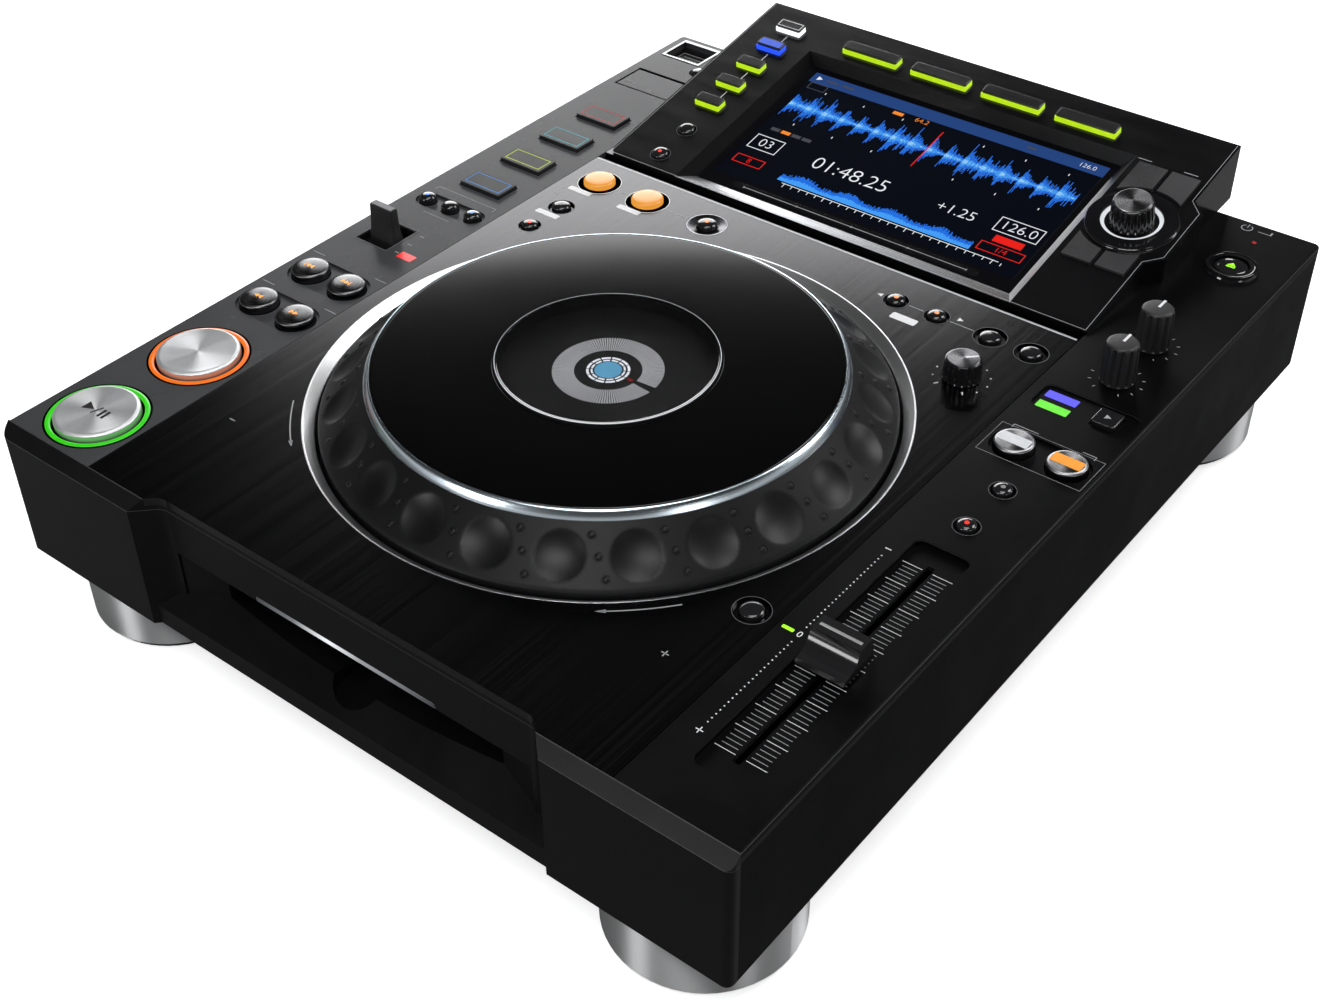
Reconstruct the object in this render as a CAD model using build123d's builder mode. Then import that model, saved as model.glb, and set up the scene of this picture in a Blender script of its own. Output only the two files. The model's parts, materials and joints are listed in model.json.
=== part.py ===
from build123d import *
import os
from math import cos, radians, sin, tan
from typing import NamedTuple

# A tabletop DJ disc player. Millimetres, +Z up. X runs from left to right as the user faces it, Y from
# its front to its back. The origin is on the table, under the middle of the player's overall box.
# Depths named "..._FRONT" or "..._LINE" and the y of each control are measured back from the front face.

# ---- Overall --------------------------------------------------------------------------------------
FOOT_HEIGHT = 27.8
BODY_HEIGHT = 55.8
JOG_RING_RADIUS = 108.8
JOG_FRONT_MARGIN = 34.7      # jog ring to front face
JOG_BACK_MARGIN = 29.5       # jog ring to display module
PANEL_SIDE_MARGIN = 6.8      # jog ring to side strip
STRIP_WIDTH = 44.4
MODULE_RUN = 123.9           # display module, front to back in plan
MODULE_TILT = 11.0
MODULE_FRONT_RISE = 0.7      # its front edge above the deck
MODULE_OVERHANG = 11.4       # how far it stands out behind the body

PANEL_HALF = JOG_RING_RADIUS + PANEL_SIDE_MARGIN
BODY_WIDTH = 2 * (PANEL_HALF + STRIP_WIDTH)
JOG_LINE = JOG_FRONT_MARGIN + JOG_RING_RADIUS
MODULE_FRONT = JOG_LINE + JOG_RING_RADIUS + JOG_BACK_MARGIN
OVERALL_DEPTH = MODULE_FRONT + MODULE_RUN
BODY_DEPTH = OVERALL_DEPTH - MODULE_OVERHANG
FRONT = -OVERALL_DEPTH / 2
Z_BOTTOM = FOOT_HEIGHT
Z_TOP = FOOT_HEIGHT + BODY_HEIGHT

# ---- Casing ---------------------------------------------------------------------------------------
DECK = 3.0
SIDE_WALL = 3.0
REAR_WALL = 3.0
BASE_SHEET = 2.0
EDGE_ROUND = 0.8
DECK_EDGE_ROUND = 1.4
CORNER_RADIUS = 2.8
NOSE_RUN = 4.4               # sloped edge along the top of the front face
NOSE_DROP = 5.0
SEAM = 0.15                  # half of the line between strip and centre panel
CUT_PAST = 1.0               # how far a cut runs past the face that it opens
Z_DECK = Z_TOP - DECK
HALF_WIDTH = BODY_WIDTH / 2
INNER_HALF = HALF_WIDTH - SIDE_WALL

# ---- Feet -----------------------------------------------------------------------------------------
FOOT_RADIUS = 33.1
FOOT_SIDE_INSET = 35.7
FOOT_FRONT_INSET = 35.8
FOOT_BACK_INSET = 33.4
FOOT_PAD_HEIGHT = 2.0
FOOT_PAD_INSET = 2.0
FOOT_ROUND = 1.2
FOOT_BORE_RADIUS = 6.0
FOOT_BORE_DEPTH = 14.0
SCREW_RADIUS = 2.0
SCREW_HEAD_RADIUS = 3.8
SCREW_HEAD_HEIGHT = 2.6
SCREW_CLEARANCE = 0.15
SCREW_REACH = 5.0            # thread past the foot's top
SOCKET_RADIUS = 1.5          # hexagon recess in a screw's head
SOCKET_DEPTH = 1.4

# ---- Front recess and disc slot ---------------------------------------------------------------------
DISC_DIAMETER = 120.0
DISC_SIDE_ROOM = 2.8
RECESS_HALF = 91.3           # at the front face; its ends run back at 45 degrees
RECESS_DEPTH = 8.5
RECESS_ROUND = 6.5
BEZEL_DEPTH = 24.0
BEZEL_WALL = 3.0
LIP_SETBACK = 2.0
LIP_HEIGHT = 8.2             # ridge of the lower lip above the bottom
SLOT_FRONT = 14.2
SLOT_HEIGHT = 6.4
SLOT_FLOOR = 17.8            # slot's lower edge above the bottom
SLOT_BOW = 3.0               # the lower edge bows forward in its middle
SLOT_HOLLOW = 2.6            # the floor behind that edge lies lower
VISOR_HEIGHT = 32.7          # lower edge of the visor above the bottom
MOUTH_INSET = 8.8            # mouth's ends in from the recess's ends
NOTCH_WIDTH = 19.5
NOTCH_DEPTH = 6.0
NOTCH_FLOOR = 10.2
LIGHT_HALF = 41.0
LIGHT_HEIGHT = 1.1
LIGHT_DEPTH = 2.0

SLOT_HALF = DISC_DIAMETER / 2 + DISC_SIDE_ROOM
Z_LIP = Z_BOTTOM + LIP_HEIGHT
Z_SLOT = Z_BOTTOM + SLOT_FLOOR
Z_SLOT_TOP = Z_SLOT + SLOT_HEIGHT
Z_VISOR = Z_BOTTOM + VISOR_HEIGHT
LIP_SLOPE = (Z_SLOT - Z_LIP) / (SLOT_FRONT - LIP_SETBACK)
Z_MOUTH = Z_LIP + LIP_SLOPE * (RECESS_DEPTH - LIP_SETBACK)
MOUTH_HALF = RECESS_HALF - MOUTH_INSET

# ---- Disc drive -------------------------------------------------------------------------------------
BAY_HEIGHT = 6.0
BAY_END_ROOM = 18.0
DRIVE_WALL = 8.0
DRIVE_BELOW = 9.0            # drive's case below the bay
DRIVE_ABOVE = 7.0
DRIVE_SHEET = 2.0
TURNTABLE_RADIUS = 15.0
TURNTABLE_HEIGHT = 2.4
TURNTABLE_SINK = 0.4         # its top stays below the bay's floor until a disc is in
MOTOR_RADIUS = 11.0
MOTOR_HEIGHT = 3.0
SPINDLE_RADIUS = 1.5
SPINDLE_FIT = 0.05
PICKUP_HALF_WIDTH = 11.0
PICKUP_RUN = 34.0
LEG_RADIUS = 4.0             # legs on the base that carry drive and boards
LEG_INSET = 7.0

# ---- Jog wheel --------------------------------------------------------------------------------------
JOG_RING_WIDTH = 0.7         # flat land of the ring around the wheel
JOG_RING_DROP = 2.9          # its conical inside falls to here
JOG_RING_THROAT = 4.3        # and narrows by this much
JOG_RING_FOOT = 2.4
WHEEL_GAP = 1.4
WHEEL_EDGE_HEIGHT = -1.0     # lower edge of the wheel's cone, above the deck
WHEEL_SKIRT = 6.5
WHEEL_CONE_RUN = 17.3
WHEEL_CONE_RISE = 14.7
WHEEL_WALL = 4.5
WEB_THICKNESS = 2.2
PLATE_THICKNESS = 3.3
TRIM_WIDTH = 2.4
TRIM_LEAN = 1.6
DIMPLE_COUNT = 24
DIMPLE_RADIUS = 8.6
DIMPLE_DEPTH = 1.5
DISPLAY_RADIUS = 39.9
DISPLAY_PROUD = 0.9
DISPLAY_GAP = 0.5
POST_RADIUS = 36.0
POST_BORE = 28.0
HUB_FIT = 0.05
HUB_WALL = 5.0
HUB_STEP = 3.0               # under the display: keeps the wheel from lifting off
WELL_FLOOR = 2.0
WELL_WALL = 2.0
WELL_DEPTH = 17.0            # its floor below the deck's top
WELL_FLANGE = 7.0
WELL_LIP = 2.5

# ---- Keys and knobs ---------------------------------------------------------------------------------
KEY_GAP = 0.35
KEY_FLANGE = 1.3
KEY_FLANGE_HEIGHT = 1.0
KEY_LIFT_GAP = 0.05
KEY_ROUND = 0.5
KEY_RECESS = 1.2
SMALL_RADIUS = 3.4           # the plain small round keys
SMALL_RECESS = 4.6
SMALL_RISE = 1.6
LOW_RISE = 1.0
SHAFT_RADIUS = 3.0
SHAFT_FIT = 0.05
KNOB_LIFT = 0.4
KNOB_WASHER = 1.6
KNOB_TOP_ROUND = 0.6
LIGHT_RING_RADIUS = 18.5
LIGHT_RING_WIDTH = 2.8
LIGHT_RING_PROUD = 0.3
LIGHT_RING_FLANGE = 1.5
LIGHT_RING_DEPTH = 2.2       # below the deck's underside
BIG_KEY_RISE = 2.6
LEFT_LINE = -PANEL_HALF - 20.9     # middle of the left strip's controls
RIGHT_LINE = PANEL_HALF + 22.7     # middle of the right strip's controls
PLAY_LINE = 25.0
CUE_LINE = 71.5

# ---- Left strip -------------------------------------------------------------------------------------
SEARCH_LINE = 110.0
TRACK_LINE = 137.0
SEARCH_HALF_PITCH = 10.0
SEARCH_RADIUS = 7.6
SEARCH_RISE = 2.6
PILL_MARGIN = 1.6
LEVER_LINE = 175.0
LEVER_OFFSET = -6.0
LEVER_SLOT = (17.0, 18.0)
LEVER_TOP = (12.0, 4.0)
LEVER_FOOT = (13.6, 7.0)
LEVER_RISE = 13.4
LEVER_PIVOT_DROP = 11.0
LEVER_PIN_RADIUS = 2.0
LEVER_EAR = (2.5, 8.0)
LEVER_EAR_REACH = 4.0        # ears go on below the pin's middle
BANK_LINE = 206.0
BANK_PITCH = 12.5
BANK_RADIUS = 3.6
BANK_RISE = 2.4
PAD_LINE = 229.0
PAD_PITCH = 25.3
PAD_COUNT = 4
PAD_SIZE = (22.0, 12.0)
PAD_RISE = 1.8
DOOR_SIZE = (31.2, 17.6)
DOOR_BACK_INSET = 40.6       # hinge side of the door to the body's back
DOOR_OFFSET = -1.6
DOOR_THICKNESS = 1.8
DOOR_GAP = 0.4
HINGE_RADIUS = 1.3
HINGE_PIN_RADIUS = 0.6
HINGE_PIN_LENGTH = 1.4
CARD_SLOT = (25.0, 2.6)
CARD_DEPTH = 16.0
CARD_BLOCK_MARGIN = 2.5
USB_WINDOW = (19.8, 17.0)
USB_OFFSET = -7.9
USB_BACK_INSET = 13.4
USB_FRAME_DEPTH = 3.0
USB_SOCKET = (13.0, 5.4)
USB_DEPTH = 10.0
USB_STOP_PLACE = (7.3, 27.9)  # from the strip's line, and from the body's back

# ---- Right strip ------------------------------------------------------------------------------------
TEMPO_KEY_OFFSET = -0.6
TEMPO_KEY_LINES = (158.7, 182.0)
FADER_LINE = 83.7
FADER_TRAVEL = 100.0
FADER_OFFSET = 0.2
FADER_RECESS = (20.4, 122.0)
FADER_RECESS_DEPTH = 2.0
FADER_RECESS_ROUND = 3.5
FADER_BLADE = (1.8, 4.2)
FADER_SLOT_GAP = 0.4
FADER_CAP = (17.6, 16.3)
FADER_CAP_REACH = 11.1       # the cap's front before its pointer line
FADER_CAP_HEIGHT = 8.5
FADER_CAP_LIFT = 0.4
FADER_BAR_RUN = 8.2
FADER_SCOOP = 7.0            # the cap's front edge lies lower by this
FADER_SCOOP_SAG = 2.4
FADER_FRONT_LEAN = 0.5
FADER_BACK_LEAN = 1.4
FADER_FOOT = (5.0, 1.2)
FADER_FOOT_GAP = 0.3
MASTER_LINE = 206.2
MASTER_HALF_PITCH = 10.1
MASTER_RADIUS = 7.2
MASTER_RISE = 2.2
MODE_PANEL = (37.0, 15.6)
MODE_LINE = 238.2
MODE_KEY = 9.0
MODE_KEY_OFFSET = 8.7
MODE_PANEL_DEPTH = 0.8
KNOB_B_LINE = 262.0
KNOB_A_LINE = 289.5
KNOB_RADIUS = 6.4
KNOB_HEIGHT = 16.5
KNOB_FLUTES = 12
FLUTE_RADIUS = 0.8
EJECT_OFFSET = 0.5
EJECT_BACK_INSET = 37.3
EJECT_RING_RADIUS = 10.6
EJECT_RING_HEIGHT = 1.4
EJECT_RING_SLOPE = 20.0
EJECT_RADIUS = 6.5
EJECT_RISE = 1.2

# ---- Centre panel -----------------------------------------------------------------------------------
GROOVE_RUN = 5.3
GROOVE_DEPTH = 2.0
WINDOW_RIM = 4.5
LOOP_ROW = -22.4             # before the module; the x of these keys starts at the panel's left edge
LOOP_IN_X = 15.2
LOOP_OUT_X = 40.9
LOOP_RADIUS = 6.7
LOOP_RISE = 2.4
LOOP_RECESS = 9.2
RELOOP_X = 71.8
RELOOP_RADIUS = 4.2
RELOOP_RECESS = 8.4
BEAT_LOOP_PLACE = (15.3, -47.3)
BEAT_LOOP_RADIUS = 3.8
BEAT_LOOP_RECESS = 5.5
SLIP_PLACE = (14.5, -66.2)
CALL_ROW = -23.6             # the x of these keys starts at the panel's right edge
CALL_X = (-68.1, -50.1)
CALL_RADIUS = 3.6
CALL_RECESS = 5.0
MEMORY_X = (-27.0, -9.8)
MEMORY_RADIUS = 4.0
MEMORY_RECESS = 6.4
RESET_REACH = 13.0            # its middle outside the jog ring
RESET_TURN = 29.4             # degrees from the jog's right side towards the front
RESET_RECESS = 6.2
ADJUST_RADIUS = 7.2
ADJUST_HEIGHT = 8.6
ADJUST_PLACE = (-22.3, -51.9)  # from the panel's right edge, and from the module

# ---- Display module: s runs up its tilted face from the front edge ----------------------------------
SHELL = 2.5
MODULE_LEFT = 1.6            # in from the left seam
MODULE_RIGHT = -0.4          # in from the right seam: it covers it
MODULE_CORNER = 5.0
MODULE_BACK_HEIGHT = 24.0
POD_BULGE = 6.0
POD_S = (44.0, 50.0, 80.5, 86.5)
SILL_DEPTH = 4.6
MODULE_LEFT_X = -PANEL_HALF + MODULE_LEFT
MODULE_RIGHT_X = PANEL_HALF - MODULE_RIGHT
SCREEN_LEFT_MARGIN = 36.0    # screen's opening to the module's sides
SCREEN_RIGHT_MARGIN = 33.0
SCREEN_FRONT = 0.2
SCREEN_BACK = 101.5
BEVEL_LEFT = 3.3             # runs of the bevels down to the glass
BEVEL_RIGHT = 5.5
BEVEL_FRONT = 9.6
BEVEL_BACK = 2.5
SCREEN_TOP = (
    MODULE_LEFT_X + SCREEN_LEFT_MARGIN,
    MODULE_RIGHT_X - SCREEN_RIGHT_MARGIN,
    SCREEN_FRONT,
    SCREEN_BACK,
)
SCREEN_FLOOR = (
    SCREEN_TOP[0] + BEVEL_LEFT,
    SCREEN_TOP[1] - BEVEL_RIGHT,
    SCREEN_FRONT + BEVEL_FRONT,
    SCREEN_BACK - BEVEL_BACK,
)
SCREEN_SINK = 5.5
GLASS_THICKNESS = 1.2
TUB_WALL = 1.5
SOURCE_INSET = 19.0          # from the module's left side
SOURCE_X = MODULE_LEFT_X + SOURCE_INSET
SOURCE_S = 48.7
SOURCE_PITCH = 15.57
SOURCE_COUNT = 5
SOURCE_SIZE = (13.0, 6.3)
MODE_INSET = 21.2            # from the module's left side
MODE_S = (28.5, 9.6)
MODE_RADIUS = 3.6
MODE_RECESS = 4.3
MENU_INSET = 27.5            # from the screen's left side
MENU_X = SCREEN_TOP[0] + MENU_INSET
MENU_S = 110.3
MENU_PITCH = 35.4
MENU_COUNT = 4
MENU_SIZE = (28.0, 6.7)
MODULE_KEY_RISE = 2.6
SELECTOR_INSET = 15.6        # from the module's right side
SELECTOR_X = MODULE_RIGHT_X - SELECTOR_INSET
SELECTOR_S = 63.8
SELECTOR_RADIUS = 8.7
SELECTOR_HEIGHT = 11.0
SELECTOR_FLUTES = 20
SELECTOR_RING = (12.2, 18.5)
SELECTOR_RING_HEIGHT = 1.2
SELECTOR_RING_SLOPE = 30.0
NAV_SPREAD = (-14.5, -2.1, -0.1, 12.1)      # sides of the left and right keys, from the selector
NAV_X = [SELECTOR_X + offset for offset in NAV_SPREAD]
NAV_S = (34.0, 98.0)
NAV_ARC = 20.6
NAV_FLANGE = 0.7
NAV_RISE = 0.8

# ---- Inside and rear --------------------------------------------------------------------------------
BOARD_THICKNESS = 1.6
BOARD_HEIGHT = 12.0          # above the base sheet
BOARD_HALF_WIDTH = 140.0
BOARD_RUN = 150.0
BOARD_BACK_INSET = 16.0
CHIP_SIZE = 25.0
CHIP_HEIGHT = 3.0
SOCKET_LINE = 30.0           # middle of the rear sockets above the bottom
JACK_RADIUS = 4.15
JACK_BORE = 1.7
JACK_LENGTH = 8.6
JACK_COLLAR = (6.2, 1.6)
JACK_X = (-124.0, -104.0, -84.0, -64.0)
NETWORK_X = -20.0
NETWORK_SIZE = (16.0, 14.0)
USB_B_X = 12.0
USB_B_SIZE = (12.6, 11.6)
DATA_WALL = 1.6
DATA_DEPTH = 13.0
DATA_PROUD = 0.8
INLET_X = 118.0
INLET_SIZE = (27.0, 20.0)
INLET_WALL = 2.6
INLET_DEPTH = 17.0
INLET_FLANGE = 2.0
INLET_PIN = (4.0, 2.0, 12.0)
INLET_PIN_RISE = 2.0         # the middle pin above the socket's middle, the others below it
SWITCH_X = 80.0
ROCKER_SIZE = (12.0, 19.0)
ROCKER_DEPTH = 8.0
ROCKER_TILT = 7.0
ROCKER_ROOM = 1.2
ROCKER_PIN_RADIUS = 1.2
ROCKER_PIN_LENGTH = 1.2
FRAME_WALL = 2.2


class RoundKey(NamedTuple):
    """Round keys of one kind: their places, the cap's radius and rise, and the recess around the cap."""
    name: str
    places: list
    radius: float
    rise: float
    recess: float = 0.0


# ---- Reference planes: plan and profile sketches measure back from the front face -------------------
def plan(z):
    """Seen from above at height z: x, then the distance behind the front face."""
    return Plane(origin=(0, FRONT, z), x_dir=(1, 0, 0), z_dir=(0, 0, 1))


def profile(x):
    """Seen from the right at x: the distance behind the front face, then the height."""
    return Plane(origin=(x, FRONT, 0), x_dir=(0, 1, 0), z_dir=(1, 0, 0))


def facing(y):
    """Seen from the front at a distance behind the front face: x, then the height."""
    return Plane(origin=(0, FRONT + y, 0), x_dir=(1, 0, 0), z_dir=(0, -1, 0))


TILT = radians(MODULE_TILT)
DECK_TOP = plan(Z_TOP)
FACE = Plane(
    origin=(0, FRONT + MODULE_FRONT, Z_TOP + MODULE_FRONT_RISE),
    x_dir=(1, 0, 0),
    z_dir=(0, -sin(TILT), cos(TILT)),
)


def module_z(y, below=0.0):
    """Height of the module's face at a distance behind the front face, or of a layer below it."""
    return Z_TOP + MODULE_FRONT_RISE + (y - MODULE_FRONT) * tan(TILT) - below / cos(TILT)


def save(builder, name):
    builder.part.label = name
    export_step(builder.part, f"parts/{name}.step")


def box_outline(left, right, low, high):
    """A rectangle in the current sketch, given by its sides."""
    with Locations(((left + right) / 2, (low + high) / 2)):
        Rectangle(right - left, high - low)


def recess_outline(depth):
    """Corners of the front recess, in plan, down to a depth behind the front face."""
    inner = RECESS_HALF - depth
    return [
        (-RECESS_HALF, -1),
        (RECESS_HALF, -1),
        (RECESS_HALF, 0),
        (inner, depth),
        (-inner, depth),
        (-RECESS_HALF, 0),
    ]


def pill(centre_y, half_pitch, radius, offset=0.0):
    """The long rounded outline around a row of round keys."""
    with Locations((offset, centre_y)):
        SlotCenterToCenter(2 * half_pitch, 2 * radius)


# ---- Key places -------------------------------------------------------------------------------------
def from_left_line(dx, y):
    return (LEFT_LINE + dx, y)


def from_right_line(dx, y):
    return (RIGHT_LINE + dx, y)


def from_left_corner(dx, dy):
    """From the centre panel's back left corner, at the module."""
    return (-PANEL_HALF + dx, MODULE_FRONT + dy)


def from_right_corner(dx, dy):
    return (PANEL_HALF + dx, MODULE_FRONT + dy)


RESET_PLACE = (
    (JOG_RING_RADIUS + RESET_REACH) * cos(radians(RESET_TURN)),
    JOG_LINE - (JOG_RING_RADIUS + RESET_REACH) * sin(radians(RESET_TURN)),
)

LEFT_KEYS = [
    RoundKey(
        "search_buttons",
        [from_left_line(side * SEARCH_HALF_PITCH, SEARCH_LINE) for side in (-1, 1)],
        radius=SEARCH_RADIUS,
        rise=SEARCH_RISE,
    ),
    RoundKey(
        "track_search_buttons",
        [from_left_line(side * SEARCH_HALF_PITCH, TRACK_LINE) for side in (-1, 1)],
        radius=SEARCH_RADIUS,
        rise=SEARCH_RISE,
    ),
    RoundKey(
        "bank_buttons",
        [from_left_line(step * BANK_PITCH, BANK_LINE) for step in (-1, 0, 1)],
        radius=BANK_RADIUS,
        rise=BANK_RISE,
    ),
    RoundKey(
        "usb_stop_button",
        [from_left_line(USB_STOP_PLACE[0], BODY_DEPTH - USB_STOP_PLACE[1])],
        radius=SMALL_RADIUS,
        rise=SMALL_RISE,
        recess=SMALL_RECESS,
    ),
]
RIGHT_KEYS = [
    RoundKey(
        "tempo_buttons",
        [from_right_line(TEMPO_KEY_OFFSET, y) for y in TEMPO_KEY_LINES],
        radius=SMALL_RADIUS,
        rise=SMALL_RISE,
        recess=SMALL_RECESS,
    ),
    RoundKey(
        "sync_button",
        [from_right_line(-MASTER_HALF_PITCH, MASTER_LINE)],
        radius=MASTER_RADIUS,
        rise=MASTER_RISE,
    ),
    RoundKey(
        "master_button",
        [from_right_line(MASTER_HALF_PITCH, MASTER_LINE)],
        radius=MASTER_RADIUS,
        rise=MASTER_RISE,
    ),
    RoundKey(
        "eject_button",
        [from_right_line(EJECT_OFFSET, BODY_DEPTH - EJECT_BACK_INSET)],
        radius=EJECT_RADIUS,
        rise=EJECT_RISE,
    ),
]
CENTRE_KEYS = [
    RoundKey(
        "loop_in_button",
        [from_left_corner(LOOP_IN_X, LOOP_ROW)],
        radius=LOOP_RADIUS,
        rise=LOOP_RISE,
        recess=LOOP_RECESS,
    ),
    RoundKey(
        "loop_out_button",
        [from_left_corner(LOOP_OUT_X, LOOP_ROW)],
        radius=LOOP_RADIUS,
        rise=LOOP_RISE,
        recess=LOOP_RECESS,
    ),
    RoundKey(
        "reloop_button",
        [from_left_corner(RELOOP_X, LOOP_ROW)],
        radius=RELOOP_RADIUS,
        rise=SMALL_RISE,
        recess=RELOOP_RECESS,
    ),
    RoundKey(
        "beat_loop_button",
        [from_left_corner(*BEAT_LOOP_PLACE)],
        radius=BEAT_LOOP_RADIUS,
        rise=SMALL_RISE,
        recess=BEAT_LOOP_RECESS,
    ),
    RoundKey(
        "slip_button",
        [from_left_corner(*SLIP_PLACE)],
        radius=SMALL_RADIUS,
        rise=SMALL_RISE,
        recess=SMALL_RECESS,
    ),
    RoundKey(
        "call_buttons",
        [from_right_corner(x, CALL_ROW) for x in CALL_X],
        radius=CALL_RADIUS,
        rise=SMALL_RISE,
        recess=CALL_RECESS,
    ),
    RoundKey(
        "memory_buttons",
        [from_right_corner(x, CALL_ROW) for x in MEMORY_X],
        radius=MEMORY_RADIUS,
        rise=LOW_RISE,
        recess=MEMORY_RECESS,
    ),
    RoundKey(
        "tempo_reset_button",
        [RESET_PLACE],
        radius=MEMORY_RADIUS,
        rise=LOW_RISE,
        recess=RESET_RECESS,
    ),
]
FACE_KEYS = [
    RoundKey(
        "mode_buttons",
        [(MODULE_LEFT_X + MODE_INSET, s) for s in MODE_S],
        radius=MODE_RADIUS,
        rise=SMALL_RISE,
        recess=MODE_RECESS,
    ),
]


def cut_round_keys(keys, plane, depth):
    """Through holes and shallow recesses for round keys, in the current part."""
    for key in keys:
        with BuildSketch(plane) as holes:
            with Locations(*key.places):
                Circle(key.radius + KEY_GAP)
        extrude(holes.sketch, amount=-depth, mode=Mode.SUBTRACT)
        if key.recess:
            with BuildSketch(plane) as recesses:
                with Locations(*key.places):
                    Circle(key.recess)
            extrude(recesses.sketch, amount=-KEY_RECESS, mode=Mode.SUBTRACT)


def make_round_keys(keys, plane, depth):
    """Caps that stand in their holes, each with a flange that stops it under the deck."""
    for key in keys:
        stop = depth + KEY_LIFT_GAP
        with BuildPart() as button:
            with BuildSketch(plane.offset(-stop)):
                with Locations(*key.places):
                    Circle(key.radius)
            extrude(amount=stop + key.rise)
            fillet(button.edges().group_by(Axis(plane.origin, plane.z_dir))[-1], KEY_ROUND)
            with BuildSketch(plane.offset(-stop)):
                with Locations(*key.places):
                    Circle(key.radius + KEY_FLANGE)
            extrude(amount=-KEY_FLANGE_HEIGHT)
        save(button, key.name)


def make_block_keys(name, places, size, rise, plane, depth):
    """Rectangular caps with a flange under the deck."""
    stop = depth + KEY_LIFT_GAP
    with BuildPart() as button:
        with BuildSketch(plane.offset(-stop)):
            with Locations(*places):
                Rectangle(*size)
        extrude(amount=stop + rise)
        fillet(button.edges().group_by(Axis(plane.origin, plane.z_dir))[-1], KEY_ROUND)
        with BuildSketch(plane.offset(-stop)):
            with Locations(*places):
                Rectangle(size[0] + 2 * KEY_FLANGE, size[1] + 2 * KEY_FLANGE)
        extrude(amount=-KEY_FLANGE_HEIGHT)
    save(button, name)


def cut_blocks(places, size, plane, depth):
    """Rectangular through holes for block keys, in the current part."""
    with BuildSketch(plane) as holes:
        with Locations(*places):
            Rectangle(size[0] + 2 * KEY_GAP, size[1] + 2 * KEY_GAP)
    extrude(holes.sketch, amount=-depth, mode=Mode.SUBTRACT)


def make_knob(name, place, plane, depth, radius, height, flutes):
    """A fluted knob on a shaft that turns in its hole; a washer below the deck keeps it there."""
    with BuildPart() as knob:
        with BuildSketch(plane.offset(KNOB_LIFT)):
            with Locations(place):
                Circle(radius)
        extrude(amount=height - KNOB_LIFT)
        fillet(knob.edges().group_by(Axis(plane.origin, plane.z_dir))[-1], KNOB_TOP_ROUND)
        with BuildSketch(plane.offset(KNOB_LIFT)):
            with Locations(place):
                with PolarLocations(radius, flutes):
                    Circle(FLUTE_RADIUS)
        extrude(amount=height, mode=Mode.SUBTRACT)
        with BuildSketch(plane.offset(KNOB_LIFT)):
            with Locations(place):
                Circle(SHAFT_RADIUS)
        extrude(amount=-(KNOB_LIFT + depth + KEY_LIFT_GAP))
        with BuildSketch(plane.offset(-depth - KEY_LIFT_GAP)):
            with Locations(place):
                Circle(SHAFT_RADIUS + KNOB_WASHER)
        extrude(amount=-KEY_FLANGE_HEIGHT)
    save(knob, name)


def cut_shafts(places, plane, depth):
    """Bearing holes for knob shafts, in the current part."""
    with BuildSketch(plane) as holes:
        with Locations(*places):
            Circle(SHAFT_RADIUS + SHAFT_FIT)
    extrude(holes.sketch, amount=-depth, mode=Mode.SUBTRACT)


os.makedirs("parts", exist_ok=True)

# ---- Base sheet with the legs that carry the drive and the board ------------------------------------
DRIVE_HALF = SLOT_HALF + DRIVE_WALL
DRIVE_RUN = DISC_DIAMETER + BAY_END_ROOM + DRIVE_WALL
Z_BAY = (Z_SLOT + Z_SLOT_TOP - BAY_HEIGHT) / 2
Z_DRIVE = Z_BAY - DRIVE_BELOW
Z_DRIVE_TOP = Z_BAY + BAY_HEIGHT + DRIVE_ABOVE
Z_BASE_TOP = Z_BOTTOM + BASE_SHEET
Z_BOARD = Z_BASE_TOP + BOARD_HEIGHT
BOARD_BACK = BODY_DEPTH - BOARD_BACK_INSET
FOOT_PLACES = [
    (side * (HALF_WIDTH - FOOT_SIDE_INSET), y)
    for side in (-1, 1)
    for y in (FOOT_FRONT_INSET, BODY_DEPTH - FOOT_BACK_INSET)
]
DRIVE_LEGS = [
    (side * (DRIVE_HALF - LEG_INSET), y)
    for side in (-1, 1)
    for y in (BEZEL_DEPTH + LEG_INSET, BEZEL_DEPTH + DRIVE_RUN - LEG_INSET)
]
BOARD_LEGS = [
    (side * (BOARD_HALF_WIDTH - LEG_INSET), y)
    for side in (-1, 1)
    for y in (BOARD_BACK - BOARD_RUN + LEG_INSET, BOARD_BACK - LEG_INSET)
]

with BuildPart() as base_plate:
    with BuildSketch(plan(Z_BOTTOM)):
        box_outline(-INNER_HALF, INNER_HALF, BEZEL_DEPTH, BODY_DEPTH - REAR_WALL)
    extrude(amount=BASE_SHEET)
    with BuildSketch(plan(Z_BASE_TOP)):
        with Locations(*DRIVE_LEGS):
            Circle(LEG_RADIUS)
    extrude(amount=Z_DRIVE - Z_BASE_TOP)
    with BuildSketch(plan(Z_BASE_TOP)):
        with Locations(*BOARD_LEGS):
            Circle(LEG_RADIUS)
    extrude(amount=BOARD_HEIGHT)
    with BuildSketch(plan(Z_BASE_TOP)):
        with Locations(*FOOT_PLACES):
            Circle(LEG_RADIUS)
    extrude(amount=SCREW_REACH)
    with BuildSketch(plan(Z_BOTTOM)):
        with Locations(*FOOT_PLACES):
            Circle(SCREW_RADIUS + SCREW_CLEARANCE)
    extrude(amount=BASE_SHEET + SCREW_REACH, mode=Mode.SUBTRACT)
save(base_plate, "base_plate")

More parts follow.
